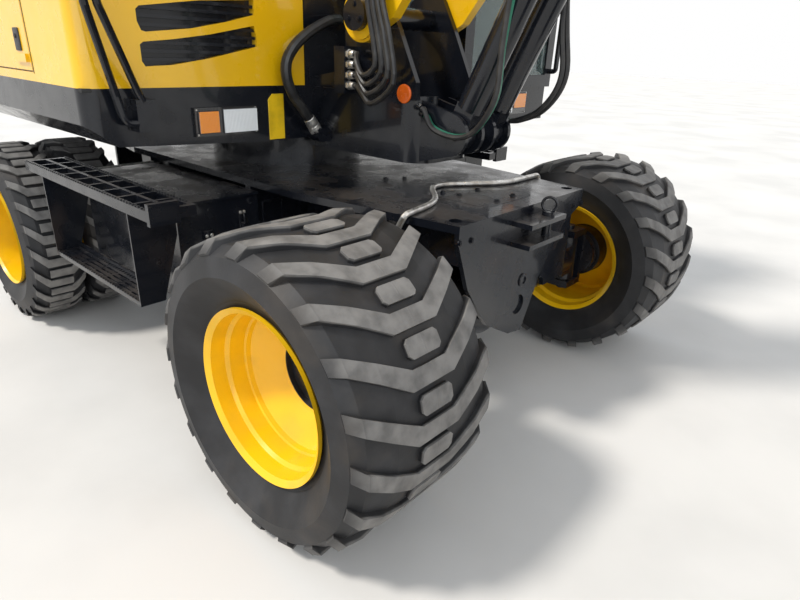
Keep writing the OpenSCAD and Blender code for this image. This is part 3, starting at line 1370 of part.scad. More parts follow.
module ram_barrel(p, q, y, r, barrel_len, pin_r) {
  along(p, q, y) translate([0, 0, ram_neck_len]) cylinder(r = r, h = barrel_len - ram_neck_len);
  along(p, q, y) translate([0, 0, barrel_len - 70]) cylinder(r = r + 8, h = 70);
  along(p, q, y) box([-46, -ram_eye_w + 3, 0], [46, ram_eye_w - 3, ram_neck_len + 9]);
  pin(p, 60, y - ram_eye_w, y + ram_eye_w);
}

module ram_rod(p, q, y, r, barrel_len, rod_in) {
  full = norm(q - p);
  along(p, q, y) translate([0, 0, barrel_len - rod_in]) cylinder(r = r, h = full - barrel_len + rod_in - 30);
  pin(q, 58, y - ram_eye_w, y + ram_eye_w);
}

boom_barrel_len = 1040;
boom_rod_r = 38;
stick_barrel_len = 1150;
bucket_barrel_len = 1080;

module barrel_with_bore(p, q, y, r, barrel_len, rod_r, pin_r) {
  difference() {
    ram_barrel(p, q, y, r, barrel_len, pin_r);
    along(p, q, y) translate([0, 0, ram_neck_len + 40]) cylinder(r = rod_r + pin_gap, h = barrel_len);
    pin(p, pin_r + pin_gap, y - 200, y + 200);
  }
}

module boom_barrels() {
  color(black) place() both_sides() {
    barrel_with_bore(boom_ram_foot, boom_ram_eye, ram_y, 55, boom_barrel_len, boom_rod_r, ram_pin_r);
    along(boom_ram_foot, boom_ram_eye, 0) box([-24, ram_y + 48, port_at], [24, ram_hose_y(1) + 16, port_at + 50]);
  }
}

module boom_rods() {
  color(steel) place() both_sides() ram_rod(boom_ram_foot, boom_ram_eye, ram_y, boom_rod_r, boom_barrel_len, 320);
}

module stick_barrel() {
  color(black) place() {
    barrel_with_bore(stick_ram_foot, stick_ram_eye, 0, 65, stick_barrel_len, 42, ram_pin_r);
  }
}

module stick_rod() {
  color(steel) place() ram_rod(stick_ram_foot, stick_ram_eye, 0, 42, stick_barrel_len, 200);
}

module bucket_barrel() {
  color(black) place() barrel_with_bore(bucket_ram_foot, rocker_crank_pin, 0, 55, bucket_barrel_len, 35, ram_pin_r);
}

module bucket_rod() {
  color(steel) place() ram_rod(bucket_ram_foot, rocker_crank_pin, 0, 35, bucket_barrel_len, 200);
}

chassis_frame();
slew_ring();
front_axle();
rear_axle();
steps();
toolboxes();
deck_pipe();
knuckle_right();
knuckle_left();
rim_front_right();
rim_front_left();
tyre_front_right();
tyre_front_left();
rims_rear_right();
rims_rear_left();
tyres_rear_right();
tyres_rear_left();
upper_frame();
counterweight();
house();
engine();
hood();
service_door();
cab_frame();
cab_glass();
cab_door();
door_glass();
seat();
controls();
lamps();
grilles();
mirrors();
tower_hoses();
boom_hoses();
boom();
stick();
bucket();
rocker();
link();
boom_barrels();
boom_rods();
stick_barrel();
stick_rod();
bucket_barrel();
bucket_rod();
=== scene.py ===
"""Looks of the wheeled excavator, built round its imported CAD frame. Metres, +X forward, +Y left, +Z up."""

import json
import math

import bmesh
import bpy
from bpy.props import FloatProperty, FloatVectorProperty, IntProperty, PointerProperty
from mathutils import Matrix, Vector
from mathutils.bvhtree import BVHTree


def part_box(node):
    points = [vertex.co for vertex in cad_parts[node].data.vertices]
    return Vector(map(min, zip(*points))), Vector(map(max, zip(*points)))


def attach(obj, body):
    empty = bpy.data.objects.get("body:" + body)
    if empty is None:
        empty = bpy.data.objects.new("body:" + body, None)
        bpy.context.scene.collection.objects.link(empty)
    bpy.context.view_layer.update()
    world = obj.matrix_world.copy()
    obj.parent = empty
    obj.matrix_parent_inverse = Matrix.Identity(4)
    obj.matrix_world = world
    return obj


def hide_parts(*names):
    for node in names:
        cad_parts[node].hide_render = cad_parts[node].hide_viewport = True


bl_info = {
    "name": "Wheeled Excavator",
    "version": (1, 0, 0),
    "blender": (4, 5, 0),
    "location": "View3D > Sidebar > Excavator",
    "description": "Dresses a wheeled excavator with worn tyres, paint, lamps and small fittings",
    "category": "Object",
}

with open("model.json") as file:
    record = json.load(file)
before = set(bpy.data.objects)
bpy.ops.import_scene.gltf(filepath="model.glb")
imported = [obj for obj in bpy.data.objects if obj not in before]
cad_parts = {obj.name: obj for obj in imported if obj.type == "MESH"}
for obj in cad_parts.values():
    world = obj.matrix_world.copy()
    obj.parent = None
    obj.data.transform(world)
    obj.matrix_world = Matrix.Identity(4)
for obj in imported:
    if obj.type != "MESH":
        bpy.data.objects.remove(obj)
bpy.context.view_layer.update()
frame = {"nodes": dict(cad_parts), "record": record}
NODES = frame["nodes"]
MM = 0.001

# The slewing axis lies this far behind the row's origin.
SLEW_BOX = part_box("slew_ring")
MIDDLE_X = -(SLEW_BOX[0].x + SLEW_BOX[1].x) / 2


def at(x, y, z):
    """A place given in millimetres from the slewing axis, in the row frame's metres."""
    return Vector((x * MM - MIDDLE_X, y * MM, z * MM))


def span(node):
    """Lowest and highest corner of a CAD node, in millimetres from the slewing axis."""
    low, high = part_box(node)
    shift = Vector((MIDDLE_X, 0, 0))
    return (low + shift) / MM, (high + shift) / MM


def lengthwise(low, high):
    """Two places along X, given in millimetres from the slewing axis, in the row frame's metres."""
    return at(low, 0, 0).x, at(high, 0, 0).x


# Places that the finishes mark out, in metres
HUB_RADIUS = 0.14
SLEEVED_HOSE_Y = (-0.1895, -0.1615)
RIGHT_AMBER_Y = (-0.8155, -0.7245)
LEFT_AMBER_Y = (0.8895, 1.0085)
BEACON_FOOT = 3.06
THREADS = 2600

# Tyres: width, height of the lugs and distance of the tread's middle from the machine's middle
FRONT_TYRE = (0.615, 0.017, (0.995,))
REAR_TYRE = (0.283, 0.016, (0.827, 1.134))

# Camera, fitted to the photograph's own perspective
CAMERA_PLACE = at(2739.9, -2100.7, 1532.3)
CAMERA_YAW = math.radians(131.203)
CAMERA_PITCH = math.radians(-23.4065)
CAMERA_ROLL = math.radians(2.2863)
CAMERA_FOCUS_PX = 576.5
PHOTO_WIDTH_PX = 800
SENSOR_MM = 36.0

X_AXIS = Vector((1, 0, 0))
Y_AXIS = Vector((0, 1, 0))
Z_AXIS = Vector((0, 0, 1))


# Sizes and colours

class ExcavatorColours(bpy.types.PropertyGroup):
    """Colours and wear of the finishes."""

    paint: FloatVectorProperty(
        name="Body paint", description="Colour of the painted upper works and rims",
        default=(0.86, 0.49, 0.003), size=3, min=0, max=1, subtype="COLOR")
    dark: FloatVectorProperty(
        name="Frame paint", description="Colour of the painted undercarriage and tower",
        default=(0.006, 0.007, 0.01), size=3, min=0, max=1, subtype="COLOR")
    rubber: FloatVectorProperty(
        name="Tyre rubber", description="Colour of the tyres between the lugs",
        default=(0.013, 0.013, 0.014), size=3, min=0, max=1, subtype="COLOR")
    worn: FloatVectorProperty(
        name="Worn rubber", description="Colour of the scuffed lug tops",
        default=(0.2, 0.19, 0.178), size=3, min=0, max=1, subtype="COLOR")
    dust: FloatVectorProperty(
        name="Dust", description="Colour of the dry dust on flat tops",
        default=(0.23, 0.19, 0.15), size=3, min=0, max=1, subtype="COLOR")
    dust_amount: FloatProperty(
        name="Dust amount", description="How much dust lies on flat tops", default=0.24, min=0, max=1,
        subtype="FACTOR")
    amber: FloatVectorProperty(
        name="Amber lens", description="Colour of the turn lamps",
        default=(0.85, 0.26, 0.01), size=3, min=0, max=1, subtype="COLOR")
    sleeve: FloatVectorProperty(
        name="Hose sleeve", description="Colour of the one sleeved hose",
        default=(0.006, 0.13, 0.075), size=3, min=0, max=1, subtype="COLOR")


class ExcavatorSizes(bpy.types.PropertyGroup):
    """Sizes of the small fittings."""

    bolt: FloatProperty(
        name="Bolt head", description="Radius of an ordinary bolt head", default=0.011, min=0.004, max=0.03,
        unit="LENGTH")
    small_bolt: FloatProperty(
        name="Small screw", description="Radius of a small screw head", default=0.006, min=0.002, max=0.02,
        unit="LENGTH")
    wheel_nut: FloatProperty(
        name="Wheel nut", description="Radius of a wheel nut",
        default=0.017, min=0.01, max=0.03, unit="LENGTH")
    wire: FloatProperty(
        name="Mesh wire", description="Radius of a wire of the vent mesh",
        default=0.0014, min=0.0005, max=0.004, unit="LENGTH")
    wire_pitch: FloatProperty(
        name="Mesh pitch", description="Distance between wires of the vent mesh",
        default=0.016, min=0.006, max=0.05, unit="LENGTH")
    peg: FloatProperty(
        name="Tread peg", description="Radius of a raised peg on the step treads",
        default=0.0045, min=0.002, max=0.01, unit="LENGTH")
    facets: IntProperty(
        name="Tube sides", description="Sides of a round tube", default=20, min=8, max=48)


def colours():
    return bpy.context.scene.excavator_colours


def sizes():
    return bpy.context.scene.excavator_sizes


# Finishes

class Finish:
    """A principled material and the nodes that feed it."""

    SOCKETS = {
        "colour": "Base Color", "rough": "Roughness", "metal": "Metallic", "coat": "Coat Weight",
        "coat_rough": "Coat Roughness", "normal": "Normal", "through": "Transmission Weight", "ior": "IOR",
        "sheen": "Sheen Weight", "specular": "Specular IOR Level",
    }

    def __init__(self, name, colour=(0.5, 0.5, 0.5), rough=0.5, metal=0.0):
        self.material = bpy.data.materials.new(name)
        self.material.use_nodes = True
        self.tree = self.material.node_tree
        self.tree.nodes.clear()
        self.link = self.tree.links.new
        out = self.node("OutputMaterial")
        self.shader = self.node("BsdfPrincipled")
        self.link(self.shader.outputs[0], out.inputs[0])
        self.put(colour=(*colour, 1), rough=rough, metal=metal)
        coords = self.node("TexCoord")
        self.place = coords.outputs["Object"]
        self.normal = coords.outputs["Normal"]

    def node(self, kind):
        return self.tree.nodes.new("ShaderNode" + kind)

    def put(self, **values):
        """Sets constants on the shader, or links a node's output to it."""
        for name, value in values.items():
            self.feed(self.shader.inputs[self.SOCKETS[name]], value)
        return self

    def feed(self, socket, value):
        if isinstance(value, bpy.types.NodeSocket):
            self.link(value, socket)
        else:
            socket.default_value = value

    def noise(self, scale, detail=4.0, stretch=None):
        """Noise value at this many features a metre, stretched along an axis where asked."""
        node = self.node("TexNoise")
        node.inputs["Scale"].default_value = scale
        node.inputs["Detail"].default_value = detail
        place = self.place
        if stretch:
            mapping = self.node("Mapping")
            mapping.inputs["Scale"].default_value = stretch
            self.link(self.place, mapping.inputs["Vector"])
            place = mapping.outputs[0]
        self.link(place, node.inputs["Vector"])
        return node.outputs["Fac"]

    def cells(self, scale):
        """Distance to the nearest of scattered points, for grain and spangle."""
        node = self.node("TexVoronoi")
        node.inputs["Scale"].default_value = scale
        self.link(self.place, node.inputs["Vector"])
        return node

    def step(self, value, low, high, out_low=0.0, out_high=1.0):
        """Value mapped from low..high to out_low..out_high, smooth at both ends."""
        node = self.node("MapRange")
        node.interpolation_type = "SMOOTHSTEP"
        self.feed(node.inputs["Value"], value)
        for name, number in zip(("From Min", "From Max", "To Min", "To Max"), (low, high, out_low, out_high)):
            node.inputs[name].default_value = number
        return node.outputs["Result"]

    def calc(self, operation, first, second=0.0):
        node = self.node("Math")
        node.operation = operation
        self.feed(node.inputs[0], first)
        self.feed(node.inputs[1], second)
        return node.outputs[0]

    def blend(self, factor, first, second):
        """Colour between first, at factor 0, and second, at factor 1."""
        node = self.node("Mix")
        node.data_type = "RGBA"
        self.feed(node.inputs["Factor"], factor)
        picks = [s for s in node.inputs if s.type == "RGBA"]
        for socket, colour in zip(picks, (first, second)):
            self.feed(socket, colour if isinstance(colour, bpy.types.NodeSocket) else (*colour[:3], 1))
        return next(s for s in node.outputs if s.type == "RGBA")

    def times(self, *values):
        """The product of values and node outputs."""
        product = values[0]
        for value in values[1:]:
            product = self.calc("MULTIPLY", product, value)
        return product

    def bump(self, height, strength, depth):
        node = self.node("Bump")
        node.inputs["Strength"].default_value = strength
        node.inputs["Distance"].default_value = depth
        self.link(height, node.inputs["Height"])
        return self.put(normal=node.outputs[0])

    def split(self, vector):
        node = self.node("SeparateXYZ")
        self.link(vector, node.inputs[0])
        return node.outputs

    def between(self, value, low, high, edge=0.002):
        """1 where value lies between low and high, with a soft edge."""
        above = self.step(value, low - edge, low + edge)
        return self.times(above, self.step(value, high - edge, high + edge, 1, 0))


def scaled(colour, share):
    return tuple(c * share for c in colour)


def add_dust(finish, base, amount):
    """Dry dust on faces that look up, thicker in patches."""
    up = finish.step(finish.split(finish.normal)[2], 0.55, 0.98)
    patches = finish.step(finish.noise(5.5, 7), 0.38, 0.72)
    fine = finish.step(finish.noise(60, 5), 0.3, 0.75, 0.55, 1)
    share = finish.times(up, patches, fine, amount)
    return finish.blend(share, base, tuple(colours().dust)), share


def gloss_paint():
    """Upper works: bright glossy paint, a little uneven, with faint dust."""
    f = Finish("body paint")
    tone = f.blend(f.step(f.noise(1.7, 5), 0.3, 0.7), tuple(colours().paint), scaled(colours().paint, 0.86))
    runs = f.step(f.noise(9, 6, (1, 1, 0.12)), 0.62, 0.8, 0, 0.14)
    tone = f.blend(runs, tone, (0.3, 0.17, 0.03))
    tone, dust = add_dust(f, tone, 0.16)
    f.put(colour=tone, coat=0.7, coat_rough=0.07)
    f.put(rough=f.calc("ADD", f.step(f.noise(14, 4), 0.3, 0.7, 0.26, 0.36), dust))
    return f.bump(f.noise(320, 2), 0.06, 0.0004)


def dark_paint():
    """Undercarriage and tower: glossy blue-black paint over cast and cut plate, with dust and mud stains."""
    f = Finish("frame paint")
    tone = f.blend(f.noise(3, 6), scaled(colours().dark, 0.75), scaled(colours().dark, 1.45))
    low = f.step(f.split(f.place)[2], 0.35, 1.05, 1, 0)
    stain = f.times(f.step(f.noise(4.3, 8, (1, 1, 0.55)), 0.52, 0.75), low)
    tone = f.blend(f.times(stain, 0.5), tone, (0.075, 0.047, 0.03))
    scratch = f.step(f.noise(38, 9, (0.25, 1, 1)), 0.71, 0.76, 0, 0.35)
    tone = f.blend(scratch, tone, (0.09, 0.085, 0.08))
    tone, dust = add_dust(f, tone, colours().dust_amount)
    rough = f.calc("ADD", f.calc("ADD", f.step(f.noise(11, 5), 0.3, 0.7, 0.16, 0.3), dust),
                   f.times(stain, 0.3))
    f.put(colour=tone, rough=rough, coat=0.3, coat_rough=0.06, specular=0.3)
    return f.bump(f.noise(150, 4), 0.1, 0.0006)


def hub_radius(f, node):
    """Distance from the wheel's own axis, at each point of the wheel."""
    low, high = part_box(node)
    x, _, z = f.split(f.place)[:]
    across = f.calc("SUBTRACT", x, (low.x + high.x) / 2)
    rise = f.calc("SUBTRACT", z, (low.z + high.z) / 2)
    return f.calc("SQRT", f.calc("ADD", f.times(across, across), f.times(rise, rise)))


def tyre_rubber(node, middles, width, lug):
    """Dark carcass with scuffed, dusty lug tops and a fine mould line."""
    f = Finish("rubber " + node)
    low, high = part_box(node)
    crown = (high.z - low.z) / 2
    radius = hub_radius(f, node)
    y = f.split(f.place)[1]
    off = None
    for middle in middles:
        here = f.calc("ABSOLUTE", f.calc("SUBTRACT", y, middle))
        off = here if off is None else f.calc("MINIMUM", off, here)
    drop = f.calc("ADD", f.step(off, 0.3 * width, 0.44 * width, 0, 0.012),
                  f.step(off, 0.44 * width, 0.487 * width, 0, 0.038))
    sunk = f.calc("SUBTRACT", f.calc("SUBTRACT", crown, drop), radius)
    top = f.step(sunk, lug * 0.2, lug * 0.6, 1, 0)
    inner = f.step(off, 0.40 * width, 0.5 * width, 1, 0.15)
    wear = f.times(top, inner, f.step(f.noise(16, 7), 0.25, 0.7, 0.45, 1))
    rubber = colours().rubber
    carcass = f.blend(f.step(f.noise(8, 7), 0.35, 0.75), tuple(rubber), scaled(rubber, 2.1))
    soil = f.times(f.step(f.noise(5, 6), 0.5, 0.8), 0.32)
    carcass = f.blend(soil, carcass, (0.1, 0.08, 0.062))
    f.put(colour=f.blend(wear, carcass, tuple(colours().worn)), specular=0.35,
          rough=f.calc("ADD", 0.55, f.times(wear, 0.2)))
    seam = f.times(f.step(off, 0.001, 0.0035, 1, 0), f.step(sunk, 0.0, 0.004, 1, 0))
    grain = f.calc("ADD", f.times(f.noise(90, 8), 0.6), seam)
    return f.bump(grain, 0.3, 0.002)


def rim_paint(node):
    """Rim in body paint with a dark hub and grime in its well."""
    f = Finish("rim " + node)
    radius = hub_radius(f, node)
    paint = f.blend(f.step(f.noise(6, 6), 0.4, 0.75), tuple(colours().paint), scaled(colours().paint, 0.84))
    grime = f.times(f.step(f.noise(9, 8), 0.55, 0.85), 0.3)
    paint = f.blend(grime, paint, (0.16, 0.1, 0.05))
    hub = f.step(radius, HUB_RADIUS - 0.003, HUB_RADIUS + 0.001, 1, 0)
    f.put(colour=f.blend(hub, paint, tuple(colours().dark)), coat=0.3, coat_rough=0.15)
    f.put(rough=f.step(f.noise(12, 4), 0.3, 0.7, 0.3, 0.5))
    return f.bump(f.noise(120, 4), 0.12, 0.0006)


def polished_rod():
    f = Finish("polished rod", (0.78, 0.78, 0.77), 0.1, 1.0)
    f.put(rough=f.step(f.noise(40, 5, (1, 1, 4)), 0.3, 0.8, 0.07, 0.2))
    return f.bump(f.noise(300, 3), 0.03, 0.0002)


def zinc():
    """Plated steel with a faint spangle."""
    f = Finish("zinc", (0.5, 0.51, 0.5), 0.38, 0.9)
    spangle = f.cells(90)
    f.put(colour=f.blend(f.step(f.noise(25, 6), 0.35, 0.7), (0.72, 0.71, 0.68), (0.42, 0.4, 0.37)),
          rough=f.step(f.noise(50, 4), 0.3, 0.7, 0.26, 0.5))
    return f.bump(spangle.outputs["Distance"], 0.08, 0.0005)


def hose_rubber(sleeved=False):
    """Smooth dark hose with a wrapped cover; one run has a coloured sleeve."""
    f = Finish("sleeved hose" if sleeved else "hose", (0.014, 0.014, 0.015), 0.42)
    tone = f.blend(f.step(f.noise(20, 6), 0.4, 0.8), (0.011, 0.011, 0.012), (0.035, 0.033, 0.03))
    if sleeved:
        x, y, _ = f.split(f.place)[:]
        run = f.times(f.between(y, *SLEEVED_HOSE_Y, 0.0006), f.step(x, *lengthwise(1130, 1134)))
        tone = f.blend(run, tone, tuple(colours().sleeve))
    f.put(colour=tone, rough=f.step(f.noise(30, 4), 0.3, 0.7, 0.34, 0.52))
    return f.bump(f.noise(420, 3, (1, 1, 0.3)), 0.25, 0.0006)


def clear_glass():
    f = Finish("tinted glass", (0.62, 0.78, 0.76), 0.03)
    f.put(through=0.92, ior=1.45)
    smear = f.noise(4, 6)
    f.put(rough=f.step(smear, 0.45, 0.8, 0.02, 0.12))
    return f


def moulded_plastic():
    f = Finish("moulded plastic", (0.03, 0.03, 0.033), 0.55)
    f.put(colour=f.blend(f.noise(30, 4), (0.022, 0.022, 0.024), (0.05, 0.05, 0.052)))
    return f.bump(f.cells(900).outputs["Distance"], 0.2, 0.0004)


def cast_iron():
    f = Finish("cast iron", (0.05, 0.05, 0.05), 0.6, 0.6)
    f.put(colour=f.blend(f.step(f.noise(18, 7), 0.4, 0.7), (0.045, 0.045, 0.047), (0.12, 0.08, 0.05)))
    return f.bump(f.noise(220, 6), 0.4, 0.001)


def woven_fabric():
    """Hard-wearing seat cloth: a fine weave with a brushed look."""
    f = Finish("seat cloth", (0.03, 0.03, 0.034), 0.9)
    x, y, z = f.split(f.place)[:]
    warp = f.calc("SINE", f.times(f.calc("ADD", x, z), THREADS))
    weft = f.calc("SINE", f.times(y, THREADS))
    weave = f.times(warp, weft)
    f.put(colour=f.blend(f.step(weave, -1, 1), (0.018, 0.018, 0.021), (0.055, 0.055, 0.062)), sheen=0.35)
    return f.bump(weave, 0.5, 0.0007)


def lamp_lens():
    """Lamps: clear ribbed lenses with amber turn lamps and an amber beacon."""
    f = Finish("lamp lens", (0.82, 0.84, 0.84), 0.12)
    x, y, z = f.split(f.place)[:]
    front = f.step(x, *lengthwise(455, 459))
    amber = f.calc("MAXIMUM", f.between(y, *RIGHT_AMBER_Y), f.between(y, *LEFT_AMBER_Y))
    amber = f.times(amber, front)
    beacon = f.times(f.step(z, BEACON_FOOT, BEACON_FOOT + 0.005), f.step(x, *lengthwise(-380, -378), 1, 0))
    right_panel = f.times(f.step(y, -0.5, -0.45, 1, 0), f.step(x, *lengthwise(475.5, 476.5), 1, 0))
    left_panel = f.times(f.step(y, 0.6, 0.65), f.step(x, *lengthwise(915.5, 916.5), 1, 0))
    panel = f.times(f.calc("MAXIMUM", right_panel, left_panel), f.step(z, 1.36, 1.37, 1, 0))
    tone = f.blend(f.calc("MAXIMUM", amber, beacon), (0.8, 0.82, 0.82), tuple(colours().amber))
    tone = f.blend(panel, tone, (0.012, 0.012, 0.013))
    ribs = f.calc("SINE", f.times(y, 900))
    f.put(colour=tone, coat=0.8, coat_rough=0.05)
    return f.bump(ribs, 0.35, 0.001)


# Plain finishes: name, colour, roughness, metal share, grains a metre and their depth in metres
PLAIN = {
    "steel": ("bare steel", (0.36, 0.36, 0.36), 0.34, 0.95),
    "brass": ("yellow zinc", (0.55, 0.43, 0.2), 0.35, 0.95),
    "gasket": ("gasket", (0.012, 0.012, 0.012), 0.7, 0, 200),
    "red": ("red lens", (0.45, 0.01, 0.008), 0.15),
    "mirror": ("mirror glass", (0.85, 0.87, 0.88), 0.03, 1.0, 5, 0.0001),
    "sign": ("blank plate", (0.86, 0.55, 0.012), 0.35),
    "orange": ("reflector", (0.82, 0.14, 0.012), 0.22),
}


def plain_finish(name, colour, rough, metal=0.0, grain=90, depth=0.0005):
    """A finish of one colour with slight unevenness."""
    f = Finish(name, colour, rough, metal)
    f.put(colour=f.blend(f.step(f.noise(13, 6), 0.35, 0.7), colour, scaled(colour, 0.72)),
          rough=f.step(f.noise(24, 4), 0.3, 0.7, max(rough - 0.06, 0.02), rough + 0.08))
    return f.bump(f.noise(grain, 4), 0.12, depth)


MAKERS = {
    "paint": gloss_paint, "dark": dark_paint, "rod": polished_rod, "zinc": zinc, "hose": hose_rubber,
    "glass": clear_glass, "plastic": moulded_plastic, "iron": cast_iron, "cloth": woven_fabric,
    "lens": lamp_lens,
}
FINISHES = {}


def finish(name):
    """The material of this name, made when it is first asked for."""
    if name not in FINISHES:
        made = plain_finish(*PLAIN[name]) if name in PLAIN else MAKERS[name]()
        FINISHES[name] = made.material
    return FINISHES[name]


# The record's slot of each finish. The first finish of a slot dresses the CAD nodes of that slot.
SLOT_OF = {
    "paint": "yellow_paint", "dark": "black_paint", "rod": "chrome", "zinc": "galvanised",
    "hose": "hose_rubber", "glass": "glass", "plastic": "plastic", "iron": "cast_iron",
    "cloth": "seat_fabric", "lens": "lamp_glass",
    "steel": "galvanised", "brass": "galvanised", "gasket": "plastic", "red": "lamp_glass",
    "mirror": "chrome", "sign": "yellow_paint", "orange": "lamp_glass",
}


# Mesh building

def settle(name, mesh, body, look):
    """A finished mesh as a piece: smooth where it is round, in its finish, riding its body."""
    mesh.name = name
    mesh.shade_smooth()
    mesh.set_sharp_from_angle(angle=math.radians(35))
    mesh.materials.clear()
    mesh.materials.append(finish(look))
    piece = bpy.data.objects.new(name, mesh)
    bpy.context.scene.collection.objects.link(piece)
    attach(piece, body)
    return piece


def toward(way):
    """Turns +Z to this direction."""
    return Vector(way).to_track_quat("Z", "Y").to_matrix().to_4x4()


def rounded(points, cuts=2, share=0.25):
    """An open route with its corners cut back this many times."""
    points = [Vector(p) for p in points]
    for _ in range(cuts):
        new = [points[0]]
        for a, b in zip(points, points[1:]):
            new += [a.lerp(b, share), a.lerp(b, 1 - share)]
        points = new + [points[-1]]
    return points


class Shape:
    """One mesh under construction, in millimetres from the slewing axis."""

    def __init__(self):
        self.mesh = bmesh.new()

    def take(self, part, place=None):
        if place is not None:
            bmesh.ops.transform(part, matrix=place, verts=part.verts)
        bmesh.ops.recalc_face_normals(part, faces=part.faces)
        copy = bpy.data.meshes.new("part")
        part.to_mesh(copy)
        part.free()
        self.mesh.from_mesh(copy)
        bpy.data.meshes.remove(copy)
        return self

    def box(self, low, high, bevel=2.0):
        part = bmesh.new()
        bmesh.ops.create_cube(part, size=1)
        low, high = Vector(low), Vector(high)
        for v in part.verts:
            v.co = Vector([(low[i] + high[i]) / 2 + v.co[i] * abs(high[i] - low[i]) for i in range(3)])
        if bevel:
            bmesh.ops.bevel(part, geom=part.edges[:], offset=bevel, segments=2, profile=0.5, affect="EDGES")
        return self.take(part)

    def rod(self, a, b, r, r2=None, sides=24, bevel=0.0):
        part = bmesh.new()
        a, b = Vector(a), Vector(b)
        bmesh.ops.create_cone(part, cap_ends=True, cap_tris=False, segments=sides, radius1=r,
                              radius2=r if r2 is None else r2, depth=(b - a).length)
        if bevel:
            rim = [e for e in part.edges if any(len(f.verts) > 4 for f in e.link_faces)]
            bmesh.ops.bevel(part, geom=rim, offset=bevel, segments=2, profile=0.5, affect="EDGES")
        return self.take(part, Matrix.Translation((a + b) / 2) @ toward(b - a))

    def tube(self, points, r, sides=None, closed=False):
        """A round bar along a route."""
        sides = sides or sizes().facets
        points = [Vector(p) for p in points]
        part = bmesh.new()
        n = len(points)
        side = None
        rings = []
        for i, p in enumerate(points):
            before = points[i - 1] if closed or i else p
            after = points[(i + 1) % n] if closed or i < n - 1 else p
            way = (after - before).normalized()
            if side is None:
                side = way.orthogonal().normalized()
            side = (side - way * side.dot(way)).normalized()
            other = way.cross(side)
            turns = [2 * math.pi * k / sides for k in range(sides)]
            rings.append([part.verts.new(p + r * (math.cos(t) * side + math.sin(t) * other)) for t in turns])
        pairs = list(zip(rings, rings[1:])) + ([(rings[-1], rings[0])] if closed else [])
        for ring, following in pairs:
            for k in range(sides):
                part.faces.new((ring[k], ring[(k + 1) % sides], following[(k + 1) % sides], following[k]))
        if not closed:
            part.faces.new(rings[0][::-1])
            part.faces.new(rings[-1])
        return self.take(part)

    def plate(self, outline, origin, u, v, thick, bevel=1.0):
        """A flat outline on the axes u and v, raised by its thickness along their cross product."""
        part = bmesh.new()
        origin, u, v = Vector(origin), Vector(u), Vector(v)
        face = part.faces.new([part.verts.new(origin + u * x + v * y) for x, y in outline])
        top = bmesh.ops.extrude_face_region(part, geom=[face])["geom"]
        bmesh.ops.translate(part, vec=u.cross(v).normalized() * thick,
                            verts=[g for g in top if isinstance(g, bmesh.types.BMVert)])
        if bevel:
            bmesh.ops.bevel(part, geom=part.edges[:], offset=bevel, segments=1, profile=0.5, affect="EDGES")
        return self.take(part)

    def lathe(self, profile, origin, axis, sides=40):
        """A closed ring whose profile of (radius, height) points goes round the axis."""
        part = bmesh.new()
        rings = []
        for k in range(sides):
            t = 2 * math.pi * k / sides
            rings.append([part.verts.new((r * math.cos(t), r * math.sin(t), h)) for r, h in profile])
        n = len(profile)
        for k in range(sides):
            a, b = rings[k], rings[(k + 1) % sides]
            for i in range(n):
                part.faces.new((a[i], b[i], b[(i + 1) % n], a[(i + 1) % n]))
        return self.take(part, Matrix.Translation(Vector(origin)) @ toward(axis))

    def done(self, name, body, look):
        mesh = bpy.data.meshes.new(name)
        self.mesh.to_mesh(mesh)
        self.mesh.free()
        mesh.transform(Matrix.Translation((-MIDDLE_X, 0, 0)) @ Matrix.Scale(MM, 4))
        return settle(name, mesh, body, look)


SURFACES = {}


def land(node, start, way):
    """Where a line from start, in millimetres, first meets a CAD node, or None."""
    if node not in SURFACES:
        mesh = NODES[node].data
        corners = [v.co for v in mesh.vertices]
        SURFACES[node] = BVHTree.FromPolygons(corners, [p.vertices for p in mesh.polygons])
    hit = SURFACES[node].ray_cast(at(*start), Vector(way).normalized())[0]
    if hit is None:
        print("nothing to seat on:", node, start)
        return None
    return Vector(((hit.x + MIDDLE_X) / MM, hit.y / MM, hit.z / MM))


def seated(node, places, way):
    """Spots on a CAD node, reached from each place against this direction, facing along it."""
    return [(land(node, place, -way), way) for place in places]


# Repeated small parts, made by node trees

def new_socket(tree, name, kind, way="INPUT"):
    return tree.interface.new_socket(name, in_out=way, socket_type="NodeSocket" + kind)


def tree_on_points(name, inputs):
    """An empty tree with a Points input, the named inputs and a Geometry output."""
    tree = bpy.data.node_groups.new(name, "GeometryNodeTree")
    new_socket(tree, "Points", "Geometry")
    for label, kind in inputs:
        new_socket(tree, label, kind)
    new_socket(tree, "Geometry", "Geometry", "OUTPUT")
    return tree, tree.nodes.new("NodeGroupInput"), tree.nodes.new("NodeGroupOutput")


def named_attribute(tree, name, kind):
    node = tree.nodes.new("GeometryNodeInputNamedAttribute")
    node.data_type = kind
    node.inputs["Name"].default_value = name
    return next(s for s in node.outputs if s.name == "Attribute" and s.enabled)


def place_on_points(tree, given, out, instance, scale):
    """Sets the instance on every point along its direction, makes it real and gives it its material."""
    link = tree.links.new
    turn = tree.nodes.new("FunctionNodeAlignRotationToVector")
    turn.axis = "Z"
    link(named_attribute(tree, "facing", "FLOAT_VECTOR"), turn.inputs["Vector"])
    onto = tree.nodes.new("GeometryNodeInstanceOnPoints")
    real = tree.nodes.new("GeometryNodeRealizeInstances")
    dress = tree.nodes.new("GeometryNodeSetMaterial")
    link(given.outputs["Points"], onto.inputs["Points"])
    link(instance, onto.inputs["Instance"])
    link(turn.outputs[0], onto.inputs["Rotation"])
    link(scale, onto.inputs["Scale"])
    link(onto.outputs[0], real.inputs[0])
    link(real.outputs[0], dress.inputs["Geometry"])
    link(given.outputs["Material"], dress.inputs["Material"])
    link(dress.outputs[0], out.inputs["Geometry"])


